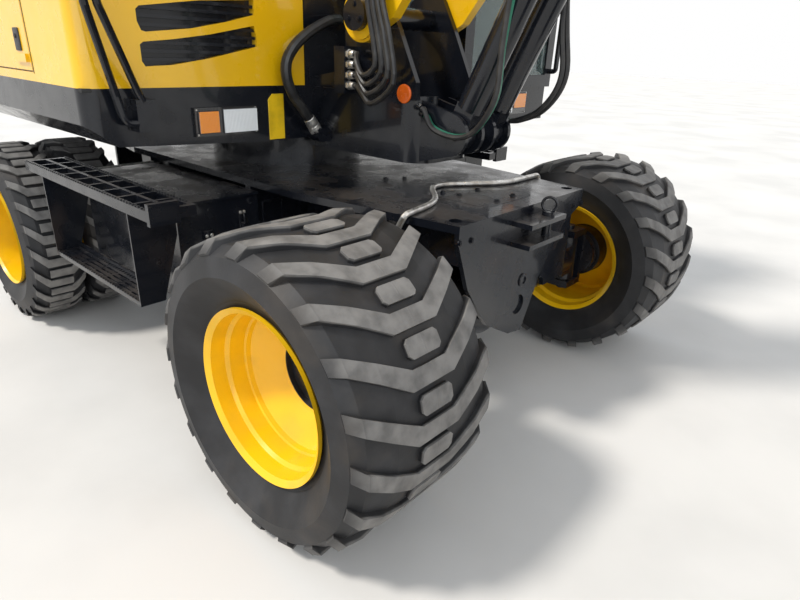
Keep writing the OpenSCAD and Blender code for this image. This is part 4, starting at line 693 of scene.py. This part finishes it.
def bolt_tree():
    """Hexagon head on a round washer, standing on each point."""
    inputs = [("Radius", "Float"), ("Head Height", "Float"), ("Material", "Material")]
    tree, given, out = tree_on_points("bolts", inputs)
    link = tree.links.new

    def share_of(name, share):
        node = tree.nodes.new("ShaderNodeMath")
        node.operation = "MULTIPLY"
        node.inputs[1].default_value = share
        link(given.outputs[name], node.inputs[0])
        return node.outputs[0]

    def lifted(sides, radius_share, low_share, high_share):
        body = tree.nodes.new("GeometryNodeMeshCylinder")
        body.inputs["Vertices"].default_value = sides
        spot = tree.nodes.new("ShaderNodeCombineXYZ")
        link(share_of("Head Height", (high_share + low_share) / 2), spot.inputs["Z"])
        link(share_of("Radius", radius_share), body.inputs["Radius"])
        link(share_of("Head Height", high_share - low_share), body.inputs["Depth"])
        move = tree.nodes.new("GeometryNodeTransform")
        link(body.outputs["Mesh"], move.inputs["Geometry"])
        link(spot.outputs[0], move.inputs["Translation"])
        return move.outputs[0]

    join = tree.nodes.new("GeometryNodeJoinGeometry")
    link(lifted(6, 1.0, 0.15, 1.0), join.inputs[0])
    link(lifted(18, 1.3, -0.25, 0.25), join.inputs[0])
    link(lifted(10, 0.5, 0.9, 1.18), join.inputs[0])
    one = tree.nodes.new("ShaderNodeCombineXYZ")
    for axis in "XYZ":
        one.inputs[axis].default_value = 1
    place_on_points(tree, given, out, join.outputs[0], one.outputs[0])
    return tree


def rod_tree():
    """A round rod from each point along its direction, as long as the point's reach."""
    inputs = [("Radius", "Float"), ("Sides", "Int"), ("Material", "Material")]
    tree, given, out = tree_on_points("rods", inputs)
    link = tree.links.new
    body = tree.nodes.new("GeometryNodeMeshCylinder")
    body.inputs["Depth"].default_value = 1
    link(given.outputs["Sides"], body.inputs["Vertices"])
    link(given.outputs["Radius"], body.inputs["Radius"])
    move = tree.nodes.new("GeometryNodeTransform")
    move.inputs["Translation"].default_value = (0, 0, 0.5)
    link(body.outputs["Mesh"], move.inputs["Geometry"])
    scale = tree.nodes.new("ShaderNodeCombineXYZ")
    scale.inputs["X"].default_value = 1
    scale.inputs["Y"].default_value = 1
    link(named_attribute(tree, "reach", "FLOAT"), scale.inputs["Z"])
    place_on_points(tree, given, out, move.outputs[0], scale.outputs[0])
    return tree


TREES = {}


def grow(name, kind, spots, body, look, **inputs):
    """Runs a node tree on spots of (place, direction, reach) in millimetres and keeps one plain mesh."""
    spots = [s for s in spots if s[0] is not None]
    if kind not in TREES:
        TREES[kind] = {"bolts": bolt_tree, "rods": rod_tree}[kind]()
    tree = TREES[kind]
    seed = bpy.data.meshes.new(name)
    seed.from_pydata([at(*place) for place, _, _ in spots], [], [])
    seed.attributes.new("facing", "FLOAT_VECTOR", "POINT")
    seed.attributes.new("reach", "FLOAT", "POINT")
    facing, reach = seed.attributes["facing"], seed.attributes["reach"]
    for i, (_, way, length) in enumerate(spots):
        facing.data[i].vector = Vector(way).normalized()
        reach.data[i].value = length * MM
    holder = bpy.data.objects.new(name + ".seed", seed)
    bpy.context.scene.collection.objects.link(holder)
    modifier = holder.modifiers.new("repeat", "NODES")
    modifier.node_group = tree
    inputs["Material"] = finish(look)
    for item in tree.interface.items_tree:
        if item.name in inputs:
            modifier[item.identifier] = inputs[item.name]
    bpy.context.view_layer.update()
    depsgraph = bpy.context.evaluated_depsgraph_get()
    mesh = bpy.data.meshes.new_from_object(holder.evaluated_get(depsgraph))
    bpy.data.objects.remove(holder)
    bpy.data.meshes.remove(seed)
    return settle(name, mesh, body, look)


def bolts(name, spots, body, look="dark", radius=None, height=None):
    """Bolts at spots of (place, direction)."""
    radius = radius or sizes().bolt
    spots = [(place, way, 0) for place, way in spots]
    inputs = {"Radius": radius, "Head Height": height or radius * 0.8}
    return grow(name, "bolts", spots, body, look, **inputs)


def rods(name, spots, body, look, radius, sides=8):
    return grow(name, "rods", spots, body, look, Radius=radius, Sides=sides)


def ring_of(centre, axis, radius, count, start=0.0):
    """Evenly spaced places on a circle round an axis."""
    turn = toward(axis).to_3x3()
    turns = [start + 2 * math.pi * k / count for k in range(count)]
    return [Vector(centre) + turn @ Vector((radius * math.cos(t), radius * math.sin(t), 0)) for t in turns]


# Operators

class PaintFrame(bpy.types.Operator):
    """Gives every CAD node its finish"""

    bl_idname = "excavator.paint_frame"
    bl_label = "Paint the frame"

    def execute(self, context):
        looks = {slot: look for look, slot in reversed(SLOT_OF.items())}
        for part in frame["record"]["subparts"]:
            node = part["node"]
            material = None
            if node.startswith("tyre"):
                width, lug, middles = FRONT_TYRE if "front" in node else REAR_TYRE
                side = 1 if node.endswith("left") else -1
                material = tyre_rubber(node, [side * y for y in middles], width, lug).material
            elif node.startswith("rim"):
                material = rim_paint(node).material
            elif node == "boom_hoses":
                material = hose_rubber(True).material
            else:
                material = finish(looks[part["material_slot"]])
            for holder in NODES[node].material_slots:
                holder.material = material
        return {"FINISHED"}


SLEW_BOLT_CIRCLE = 388
SLEW_BOLTS = 36
NOSE_BOSS_RADIUS = 30


class DeckFittings(bpy.types.Operator):
    """Bolts of the deck, nose plate and slewing ring, the nose boss and grease nipples"""

    bl_idname = "excavator.deck_fittings"
    bl_label = "Deck fittings"

    def execute(self, context):
        lid = [(869, -100), (913, -16), (1220, -108), (1280, 68), (1297, -92), (1448, 95), (1460, -50)]
        spots = seated("chassis_frame", [(x, y, 1300) for x, y in lid], Z_AXIS)
        plate = [(403, 901), (476, 905), (348, 537), (-403, 901), (-476, 905), (-348, 537)]
        spots += seated("chassis_frame", [(1640, y, z) for y, z in plate], X_AXIS)
        bolts("deck_bolts", spots, "undercarriage", "dark")
        nose = Shape()
        wide = NOSE_BOSS_RADIUS
        seat = land("chassis_frame", (1800, 12, 636), -X_AXIS)
        if seat is not None:
            hole = wide * 0.55
            lip = [(wide, -4), (wide, 5), (wide - 4, 8), (wide * 0.6, 8), (hole, 3), (hole, -4)]
            nose.lathe(lip, seat, X_AXIS)
            nose.rod(seat - 4 * X_AXIS, seat + 4 * X_AXIS, wide * 0.52, bevel=1.5)
        nose.done("nose_bosses", "undercarriage", "dark")
        grease = Shape()
        for y in (300, -300):
            seat = land("front_axle", (1395, y, 1000), -Z_AXIS)
            if seat is not None:
                grease.rod(seat - 2 * Z_AXIS, seat + 9 * Z_AXIS, 5, 4, 8)
                grease.rod(seat + 9 * Z_AXIS, seat + 14 * Z_AXIS, 3, 2.4, 8)
        grease.done("grease_nipples", "undercarriage", "brass")
        ring = ring_of((0, 0, 1300), Z_AXIS, SLEW_BOLT_CIRCLE, SLEW_BOLTS)
        bolts("slew_ring_bolts", seated("slew_ring", ring, Z_AXIS), "undercarriage", "steel", 0.011)
        return {"FINISHED"}


# Rows of pegs: distance from the middle, first and last place along X, and a height above the tread
PEG_ROWS = (
    (1186, -540, 690, 1150), (1008, -540, 690, 1150), (1186, -330, 520, 700), (1089, -330, 520, 700),
)
PEG_PITCH = 24


class StepFittings(bpy.types.Operator):
    """Raised pegs of the treads, and latches, frames and rails of the toolboxes"""

    bl_idname = "excavator.step_fittings"
    bl_label = "Steps and toolboxes"

    def execute(self, context):
        pegs = []
        for side in (-1, 1):
            for y, first, last, height in PEG_ROWS:
                for k in range(int((last - first) / PEG_PITCH)):
                    place = land("steps", (first + PEG_PITCH * k, side * y, height), -Z_AXIS)
                    pegs.append((place, Z_AXIS, 5))
        rods("tread_pegs", pegs, "undercarriage", "dark", sizes().peg, 6)
        boxes = Shape()
        screws = []
        for side in (-1, 1):
            face = 541
            seat = land("toolboxes", (700, side * 643, 888), -X_AXIS)
            if seat is not None:
                boxes.rod(seat - X_AXIS, seat + 6 * X_AXIS, 14, bevel=2)
                face = seat.x
            frame_y = sorted((side * 576, side * 469))
            for z in (743, 872):
                boxes.box((face - 2, frame_y[0], z), (face + 5, frame_y[1], z + 5), 1)
            for y in frame_y:
                boxes.box((face - 2, y - 2, 743), (face + 5, y + 3, 877), 1)
            y = side * 690
            boxes.box((face - 2, y - 17, 753), (face + 9, y + 17, 852), 4)
            boxes.box((face + 7, y - 10, 770), (face + 20, y + 10, 800), 4)
            lever = [(face + 8, y, 845), (face + 24, y, 838), (face + 24, y, 800), (face + 14, y, 792)]
            boxes.tube(rounded(lever), 4, 10)
            y = side * 862
            boxes.box((face - 2, y - 22, 751), (face + 12, y + 22, 792), 3)
            for k in (-1, 1):
                screws.append((Vector((face + 12, y + 12 * k, 771)), X_AXIS))
                screws.append((Vector((face + 9, side * 690 + 9 * k, 760)), X_AXIS))
                screws.append((Vector((face + 9, side * 690 + 9 * k, 845)), X_AXIS))
        boxes.done("toolbox_latches", "undercarriage", "dark")
        bolts("toolbox_screws", screws, "undercarriage", "zinc", sizes().small_bolt)
        rails = Shape()
        for side in (-1, 1):
            rails.tube([(-283, side * 1010, 941), (-307, side * 660, 941)], 5, 12)
        rails.done("toolbox_rails", "undercarriage", "zinc")
        return {"FINISHED"}


# Hose ports of the valve block: count, height of the top one and distance between them
VALVE_PORTS = 4
TOP_PORT = 1510
PORT_PITCH = 42


class TowerFittings(bpy.types.Operator):
    """Pin cap bolts, hose ends, reflector and blank sign round the boom foot"""

    bl_idname = "excavator.tower_fittings"
    bl_label = "Tower fittings"

    def execute(self, context):
        ends = Shape()
        for i in range(VALVE_PORTS):
            z = TOP_PORT - PORT_PITCH * i
            ends.rod((772, -255, z), (786, -255, z), 19, sides=6, bevel=1.2)
            ends.rod((790, -255, z), (812, -255, z), 16.5, 15, bevel=1)
        ends.rod((526, -236, 1165), (526.5, -244, 1176), 33, sides=6, bevel=2)
        ends.done("hose_ends", "upper", "zinc")
        crimped = [
            (24.6, 0), (29, 0), (30, 4), (28, 10), (30, 16), (28, 22), (30, 28), (28, 40), (27, 60),
            (24.6, 62),
        ]
        Shape().lathe(crimped, (530, -243, 1175), (0, -32, 42)).done("hose_ferrule", "upper", "zinc")
        lamp = Shape()
        seat = land("upper_frame", (1055, -600, 1367), Y_AXIS)
        if seat is not None:
            lamp.lathe([(0.5, 0), (38, 0), (38, -5), (35, -8), (20, -9.5), (0.5, -10)], seat, Y_AXIS, 48)
        lamp.done("side_reflector", "upper", "orange")
        caps = []
        for side in (-1, 1):
            ring = ring_of((852, side * 600, 1661), Y_AXIS, 36, 3, math.pi / 2)
            ring += ring_of((1275, side * 600, 1222), Y_AXIS, 26, 2, 0.4)
            caps += seated("upper_frame", ring, side * Y_AXIS)
        bolts("pin_cap_bolts", caps, "upper", "dark", 0.010)
        outline = [(0, 0), (87, 0), (87, 200), (22, 200), (0, 176)]
        sign = Shape().plate(outline, (458, -457, 1130), Y_AXIS, Z_AXIS, 4, 1)
        sign.done("blank_sign", "upper", "sign")
        return {"FINISHED"}


NUT_CIRCLE = 172
NUTS = 10
VALVE_RADIUS = 205


class WheelFittings(bpy.types.Operator):
    """Nuts of the rear wheels and valve stems of all wheels"""

    bl_idname = "excavator.wheel_fittings"
    bl_label = "Wheel nuts"

    def execute(self, context):
        groups = {
            "wheel_front_right": ("rim_front_right", -1), "wheel_front_left": ("rim_front_left", 1),
            "wheels_rear_right": ("rims_rear_right", -1), "wheels_rear_left": ("rims_rear_left", 1),
        }
        for body, (node, side) in groups.items():
            low, high = span(node)
            hub = Vector(((low.x + high.x) / 2, side * 1500, (low.z + high.z) / 2))
            if "rear" in node:
                nuts = seated(node, ring_of(hub, Y_AXIS, NUT_CIRCLE, NUTS, 0.2), side * Y_AXIS)
                bolts(body + "_nuts", nuts, body, "dark", sizes().wheel_nut, 0.02)
            stem = land(node, hub + VALVE_RADIUS * Z_AXIS, -side * Y_AXIS)
            if stem is not None:
                valve = Shape()
                bend = stem + Vector((0, side * 22, 0))
                neck = stem + Vector((0, side * 40, 16))
                valve.tube(rounded([stem, bend, neck]), 4, 10)
                valve.rod(neck, stem + Vector((0, side * 48, 23)), 6, sides=12, bevel=1)
                valve.done(body + "_valve", body, "brass")
        return {"FINISHED"}


class LampFittings(bpy.types.Operator):
    """Bezels and screws of the front lamps, and the rear lamps"""

    bl_idname = "excavator.lamp_fittings"
    bl_label = "Lamp bezels"

    def execute(self, context):
        bezels = Shape()
        screws = []
        fronts = [(474, -830, -530, 1170, 1285), (914, 730, 1025, 1222, 1342)]
        glasses = [
            (474, -700, -535, 1180, 1275), (474, -815, -725, 1185, 1270),
            (914, 742, 872, 1233, 1330), (914, 890, 1008, 1256, 1331),
        ]
        for x, y0, y1, z0, z1 in glasses:
            rim = [(x + 2, y0, z0), (x + 2, y1, z0), (x + 2, y1, z1), (x + 2, y0, z1)]
            bezels.tube(rim, 4, 10, closed=True)
        for x, y0, y1, z0, z1 in fronts:
            for y in (y0 + 8, y1 - 8):
                for z in (z0 + 8, z1 - 8):
                    screws.append((Vector((x - 1, y, z)), X_AXIS))
        bezels.done("lamp_bezels", "upper", "plastic")
        bolts("lamp_screws", screws, "upper", "zinc", 0.0045)
        rear = Shape()
        glow = Shape()
        for side in (-1, 1):
            seat = land("counterweight", (-2400, side * 1000, 1480), X_AXIS)
            if seat is not None:
                rear.box(seat + Vector((-14, -110, -45)), seat + Vector((30, 110, 45)), 6)
                glow.box(seat + Vector((-20, -98, -34)), seat + Vector((-10, -4, 34)), 5)
                glow.box(seat + Vector((-20, 4, -34)), seat + Vector((-10, 98, 34)), 5)
        rear.done("rear_lamp_cases", "upper", "plastic")
        glow.done("rear_lamp_lenses", "upper", "red")
        return {"FINISHED"}


# Side vents and exhaust, in millimetres from the slewing axis
VENT_END = -880
VENT_Y = 1236
VENT_FOOT = 1460
VENT_HEIGHT = 440
EXHAUST_MOUTH = (-1150, -700, 2476)


class HouseFittings(bpy.types.Operator):
    """Gasket, seams, latches, vent mesh, exhaust rim and lifting eyes of the engine house"""

    bl_idname = "excavator.house_fittings"
    bl_label = "Engine house"

    def execute(self, context):
        low, _ = span("house")
        Shape().box((low.x + 40, -1246, 1352), (456, -246, 1366), 2).done("house_gasket", "upper", "gasket")
        seams = Shape()
        for x in (-790, 25):
            seams.box((x - 2, -1251.5, 1395), (x + 2, -1248, 2150), 0.5)
        seams.box((-1290, -1251.5, 1600), (-800, -1248, 1604), 0.5)
        for side in (-1, 1):
            seams.box((-1290, side * 1250 - 1.5, 1398), (-800, side * 1250 + 1.5, 1402), 0.5)
        seams.done("panel_seams", "upper", "gasket")
        latch = Shape().box((-118, -1256, 1475), (-60, -1249, 1560), 4)
        latch.rod((-89, -1252, 1530), (-89, -1262, 1530), 9, bevel=1.5)
        latch.done("door_latch", "service_door", "plastic")
        catches = Shape()
        for y in (-700, 700):
            catches.box((-806, y - 30, 2120), (-796, y + 30, 2170), 3)
        catches.done("hood_catches", "hood", "plastic")
        wires = []
        pitch = round(sizes().wire_pitch / MM)
        first = int(span("grilles")[0].x) + 10
        for side in (-1, 1):
            for x in range(first, VENT_END, pitch):
                start = land("grilles", (x, side * 1400, 1700), -side * Y_AXIS)
                if start is not None:
                    wires.append((Vector((x, side * VENT_Y, VENT_FOOT)), Z_AXIS, VENT_HEIGHT))
        if wires:
            rods("vent_mesh", wires, "upper", "dark", sizes().wire, 6)
        lip = [(43, -20), (51, -20), (53, -17), (53, 2), (51, 4), (43, 4)]
        Shape().lathe(lip, EXHAUST_MOUTH, Z_AXIS).done("exhaust_rim", "hood", "steel")
        eyes = Shape()
        for y in (-760, 760):
            seat = land("counterweight", (-1450, y, 2600), -Z_AXIS)
            if seat is not None:
                turns = [math.pi * k / 14 for k in range(15)]
                ring = [seat + Vector((0, 38 * math.cos(t), 10 + 48 * math.sin(t))) for t in turns]
                eyes.tube([ring[0] - 14 * Z_AXIS] + ring + [ring[-1] - 14 * Z_AXIS], 12, 14)
        eyes.done("lifting_eyes", "upper", "dark")
        return {"FINISHED"}


class CabFittings(bpy.types.Operator):
    """Mirror glass and rims, wiper and door handle of the cab"""

    bl_idname = "excavator.cab_fittings"
    bl_label = "Cab fittings"

    def execute(self, context):
        glass = Shape().box((606, -1282, 2240), (609.4, -1118, 2590), 1)
        glass.box((966, 1098, 2260), (969.4, 1282, 2590), 1)
        glass.done("mirror_glass", "upper", "mirror")
        shells = Shape()
        for x, y0, y1, z0, z1 in ((630, -1290, -1118, 2230, 2600), (990, 1098, 1290, 2250, 2600)):
            rim = [(y0 + 6, z0 + 6), (y1 - 6, z0 + 6), (y1 - 6, z1 - 6), (y0 + 6, z1 - 6)]
            shells.tube([(x - 18, y, z) for y, z in rim], 4, 10, closed=True)
        shells.done("mirror_rims", "upper", "plastic")
        wiper = Shape()
        foot = land("cab_glass", (1300, 810, 2240), -X_AXIS)
        if foot is not None:
            tip = land("cab_glass", (1300, 720, 2760), -X_AXIS) or foot + Vector((0, -90, 500))
            base = foot + Vector((16, 0, 0))
            end = tip + Vector((10, 0, 0))
            wiper.tube([base, base.lerp(end, 0.5) + Vector((8, 0, 0)), end], 5, 8)
            wiper.rod(foot - X_AXIS * 1, base + X_AXIS * 6, 15, bevel=2)
            blade = (end - base).normalized()
            wiper.tube([end - blade * 260, end + blade * 120], 6, 8)
        wiper.done("wiper", "upper", "plastic")
        handle = Shape()
        spot = land("cab_door", (60, 1500, 1830), -Y_AXIS)
        if spot is not None:
            handle.box(spot + Vector((-60, -2, -24)), spot + Vector((60, 7, 24)), 5)
            grip = [(-46, 5, 0), (-46, 26, 0), (46, 26, 0), (46, 5, 0)]
            handle.tube(rounded([spot + Vector(p) for p in grip]), 7, 12)
        handle.done("door_handle", "cab_door", "plastic")
        return {"FINISHED"}


def cushion(name, size, place, channels=0):
    """A crowned closed cushion whose sides pull in between its corners, with sewn channels across its top."""
    part = bmesh.new()
    bmesh.ops.create_cube(part, size=2)
    bmesh.ops.subdivide_edges(part, edges=part.edges[:], cuts=23, use_grid_fill=True)
    half = Vector(size) / 2
    for v in part.verts:
        u, w, t = v.co
        pull = 1 - 0.05 * (1 - abs(w) ** 2) * abs(u) ** 6
        pull_w = 1 - 0.05 * (1 - abs(u) ** 2) * abs(w) ** 6
        edge = (1 - abs(u) ** 5) * (1 - abs(w) ** 5)
        swell = 0.55 + 0.45 * max(edge, 0) ** 0.5
        groove = 0.0
        if channels and t > 0.6 and abs(w) < 0.8:
            phase = (u + 1) / 2 * channels
            off = (phase - round(phase)) * 2 * half.x / channels
            groove = 7 * math.exp(-(off / 5) ** 2) * (0 < round(phase) < channels)
        if t > 0.6 and abs(abs(w) - 0.8) < 0.045:
            groove = max(groove, 6)
        thick = t * half.z * (swell if t > 0 else 0.5 + 0.5 * swell)
        v.co = Vector((u * half.x * pull, w * half.y * pull_w, thick - groove))
    piece = Shape().take(part, place).done(name, "upper", "cloth")


class DriverSeat(bpy.types.Operator):
    """Seat with a sprung base, two padded cushions and a head rest"""

    bl_idname = "excavator.driver_seat"
    bl_label = "Driver's seat"

    def execute(self, context):
        low, high = span("seat")
        mid_y = (low.y + high.y) / 2
        base = Shape()
        base.box((low.x + 110, mid_y - 175, low.z), (high.x - 85, mid_y + 175, low.z + 60), 8)
        for k in range(7):
            base.box((low.x + 118 + 2 * (k % 2), mid_y - 168, low.z + 62 + 26 * k),
                     (high.x - 93 - 2 * (k % 2), mid_y + 168, low.z + 84 + 26 * k), 9)
        base.box((low.x + 92, mid_y - 230, low.z + 246), (high.x - 20, mid_y + 230, low.z + 272), 8)
        piece = base.done("seat_base", "upper", "plastic")
        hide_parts("seat")
        pad_length = high.x - low.x - 95
        level = Matrix.Translation((low.x + 90 + pad_length / 2, mid_y, low.z + 322))
        cushion("seat_cushion", (pad_length, 480, 120), level, 4)
        lean = Matrix.Rotation(math.radians(-90 + 9.5), 4, "Y")
        cushion("seat_back", (520, 460, 120), Matrix.Translation((low.x + 125, mid_y, low.z + 640)) @ lean, 4)
        cushion("head_rest", (110, 280, 90), Matrix.Translation((low.x + 62, mid_y, low.z + 925)) @ lean)
        return {"FINISHED"}


# The boom's pins and bend, in millimetres from the slewing axis
BOOM_FOOT = Vector((852, 0, 1661))
BOOM_KNEE = Vector((2113.9, 0, 3463.1))
BOOM_TIP = Vector((4818.8, 0, 3449.0))

# Pipes on the boom's back, in millimetres, with their stops as shares of each half of the boom
PIPE_INSET = 60
PIPE_PITCH = 34
PIPE_LIFT = 22
PIPE_RADIUS = 11
LOWER_PIPE_STOPS = (0.30, 0.42, 0.55, 0.68, 0.8)
UPPER_PIPE_STOPS = (0.12, 0.25, 0.4, 0.55, 0.7, 0.82)


class ArmFittings(bpy.types.Operator):
    """Pin bolts and steel pipes of the working arm"""

    bl_idname = "excavator.arm_fittings"
    bl_label = "Arm fittings"

    def execute(self, context):
        foot, knee, tip = BOOM_FOOT, BOOM_KNEE, BOOM_TIP
        pins = []
        for side in (-1, 1):
            pins += seated("stick", ring_of(tip + side * 900 * Y_AXIS, Y_AXIS, 34, 3), side * Y_AXIS)
        bolts("stick_pin_bolts", pins, "stick", "dark", 0.009)
        pipes = Shape()
        clamps = Shape()
        for side in (-1, 1):
            for k in range(2):
                y = side * (PIPE_INSET + PIPE_PITCH * k)
                route = []
                for u in LOWER_PIPE_STOPS:
                    here = foot.lerp(knee, u)
                    normal = (knee - foot).normalized().cross(Y_AXIS) * -1
                    hit = land("boom", here + normal * 900 + y * Y_AXIS, -normal)
                    if hit is not None:
                        route.append(hit + normal * PIPE_LIFT)
                for u in UPPER_PIPE_STOPS:
                    here = knee.lerp(tip, u)
                    hit = land("boom", here + 900 * Z_AXIS + y * Y_AXIS, -Z_AXIS)
                    if hit is not None:
                        route.append(hit + PIPE_LIFT * Z_AXIS)
                pipes.tube(rounded(route, 2), PIPE_RADIUS, 14)
                if k == 0:
                    for p in route[1::2]:
                        clamps.box(p + Vector((-18, -16, -24)), p + Vector((18, 50 * side, 14)), 2)
        pipes.done("boom_pipes", "boom", "paint")
        clamps.done("pipe_clamps", "boom", "zinc")
        return {"FINISHED"}


FLOOR_REACH = 60
SKY_TINT = (0.84, 0.91, 1, 1)
SKY_RAMP = {"From Min": -0.1, "From Max": 0.8, "To Min": 0.5, "To Max": 1.0}

# Lamps: name, strength, width in degrees, direction they shine from, tint
SUNS = (
    ("key", 3.1, 9, (-1.5, -2.4, 3.4), (1, 0.97, 0.92)),
    ("fill", 1.3, 70, (2.6, -1.6, 1.0), (0.9, 0.95, 1)),
)


class StudioStage(bpy.types.Operator):
    """Floor, lights and camera"""

    bl_idname = "excavator.stage"
    bl_label = "Studio stage"

    def execute(self, context):
        scene = context.scene
        floor = bpy.data.meshes.new("floor")
        r = FLOOR_REACH
        floor.from_pydata([(-r, -r, 0), (r, -r, 0), (r, r, 0), (-r, r, 0)], [], [(0, 1, 2, 3)])
        ground = bpy.data.objects.new("floor", floor)
        scene.collection.objects.link(ground)
        f = Finish("pale floor", (0.62, 0.6, 0.57), 0.85)
        f.put(colour=f.blend(f.step(f.noise(0.9, 8), 0.35, 0.7), (0.64, 0.615, 0.58), (0.56, 0.54, 0.51)))
        floor.materials.append(f.material)
        camera_data = bpy.data.cameras.new("camera")
        camera = bpy.data.objects.new("camera", camera_data)
        scene.collection.objects.link(camera)
        cy, sy = math.cos(CAMERA_YAW), math.sin(CAMERA_YAW)
        cp, sp = math.cos(CAMERA_PITCH), math.sin(CAMERA_PITCH)
        forward = Vector((cy * cp, sy * cp, sp))
        right = Vector((sy, -cy, 0))
        up = right.cross(forward)
        cr, sr = math.cos(CAMERA_ROLL), math.sin(CAMERA_ROLL)
        turned = Matrix((cr * right + sr * up, -sr * right + cr * up, -forward)).transposed()
        camera.matrix_world = Matrix.Translation(CAMERA_PLACE) @ turned.to_4x4()
        camera_data.sensor_width = SENSOR_MM
        camera_data.lens = CAMERA_FOCUS_PX * SENSOR_MM / PHOTO_WIDTH_PX
        camera_data.clip_start = 0.05
        scene.camera = camera
        self.world(scene)
        for name, strength, angle, place, tint in SUNS:
            light = bpy.data.lights.new(name, "SUN")
            light.energy = strength
            light.angle = math.radians(angle)
            light.color = tint
            holder = bpy.data.objects.new(name, light)
            holder.rotation_euler = Vector(place).to_track_quat("Z", "Y").to_euler()
            scene.collection.objects.link(holder)
        scene.view_settings.view_transform = "Standard"
        return {"FINISHED"}

    def world(self, scene):
        """Soft light from above, and white where the camera or a reflection sees past the floor."""
        world = bpy.data.worlds.new("studio")
        scene.world = world
        world.use_nodes = True
        tree = world.node_tree
        tree.nodes.clear()
        link = tree.links.new
        out = tree.nodes.new("ShaderNodeOutputWorld")
        light, white = tree.nodes.new("ShaderNodeBackground"), tree.nodes.new("ShaderNodeBackground")
        coords = tree.nodes.new("ShaderNodeTexCoord")
        parts = tree.nodes.new("ShaderNodeSeparateXYZ")
        sky = tree.nodes.new("ShaderNodeMapRange")
        for name, number in SKY_RAMP.items():
            sky.inputs[name].default_value = number
        light.inputs["Color"].default_value = SKY_TINT
        link(coords.outputs["Generated"], parts.inputs[0])
        link(parts.outputs["Z"], sky.inputs["Value"])
        link(sky.outputs[0], light.inputs["Strength"])
        white.inputs["Color"].default_value = (1, 1, 1, 1)
        seen = tree.nodes.new("ShaderNodeLightPath")
        mix = tree.nodes.new("ShaderNodeMixShader")
        factor = seen.outputs["Is Camera Ray"]
        for ray in ("Is Glossy Ray", "Is Transmission Ray"):
            either = tree.nodes.new("ShaderNodeMath")
            either.operation = "MAXIMUM"
            link(factor, either.inputs[0])
            link(seen.outputs[ray], either.inputs[1])
            factor = either.outputs[0]
        link(factor, mix.inputs[0])
        link(light.outputs[0], mix.inputs[1])
        link(white.outputs[0], mix.inputs[2])
        link(mix.outputs[0], out.inputs[0])


class ExcavatorPanel(bpy.types.Panel):
    """Lists the excavator's colours, sizes and operators"""

    bl_idname = "VIEW3D_PT_excavator"
    bl_label = "Excavator"
    bl_space_type = "VIEW_3D"
    bl_region_type = "UI"
    bl_category = "Excavator"

    def draw(self, context):
        for group in (context.scene.excavator_colours, context.scene.excavator_sizes):
            for name in group.bl_rna.properties.keys():
                if name not in ("rna_type", "name"):
                    self.layout.prop(group, name)
        for operator in OPERATORS:
            self.layout.operator(operator.bl_idname)


OPERATORS = (
    PaintFrame, DeckFittings, StepFittings, TowerFittings, WheelFittings, LampFittings, HouseFittings,
    CabFittings, DriverSeat, ArmFittings, StudioStage,
)
CLASSES = (ExcavatorColours, ExcavatorSizes, *OPERATORS, ExcavatorPanel)


def register():
    for item in CLASSES:
        bpy.utils.register_class(item)
    bpy.types.Scene.excavator_colours = PointerProperty(type=ExcavatorColours)
    bpy.types.Scene.excavator_sizes = PointerProperty(type=ExcavatorSizes)


def unregister():
    del bpy.types.Scene.excavator_sizes
    del bpy.types.Scene.excavator_colours
    for item in reversed(CLASSES):
        bpy.utils.unregister_class(item)


def main():
    register()
    bpy.ops.excavator.paint_frame()
    bpy.ops.excavator.deck_fittings()
    bpy.ops.excavator.step_fittings()
    bpy.ops.excavator.tower_fittings()
    bpy.ops.excavator.wheel_fittings()
    bpy.ops.excavator.lamp_fittings()
    bpy.ops.excavator.house_fittings()
    bpy.ops.excavator.cab_fittings()
    bpy.ops.excavator.driver_seat()
    bpy.ops.excavator.arm_fittings()
    bpy.ops.excavator.stage()


if __name__ == "__main__":
    main()
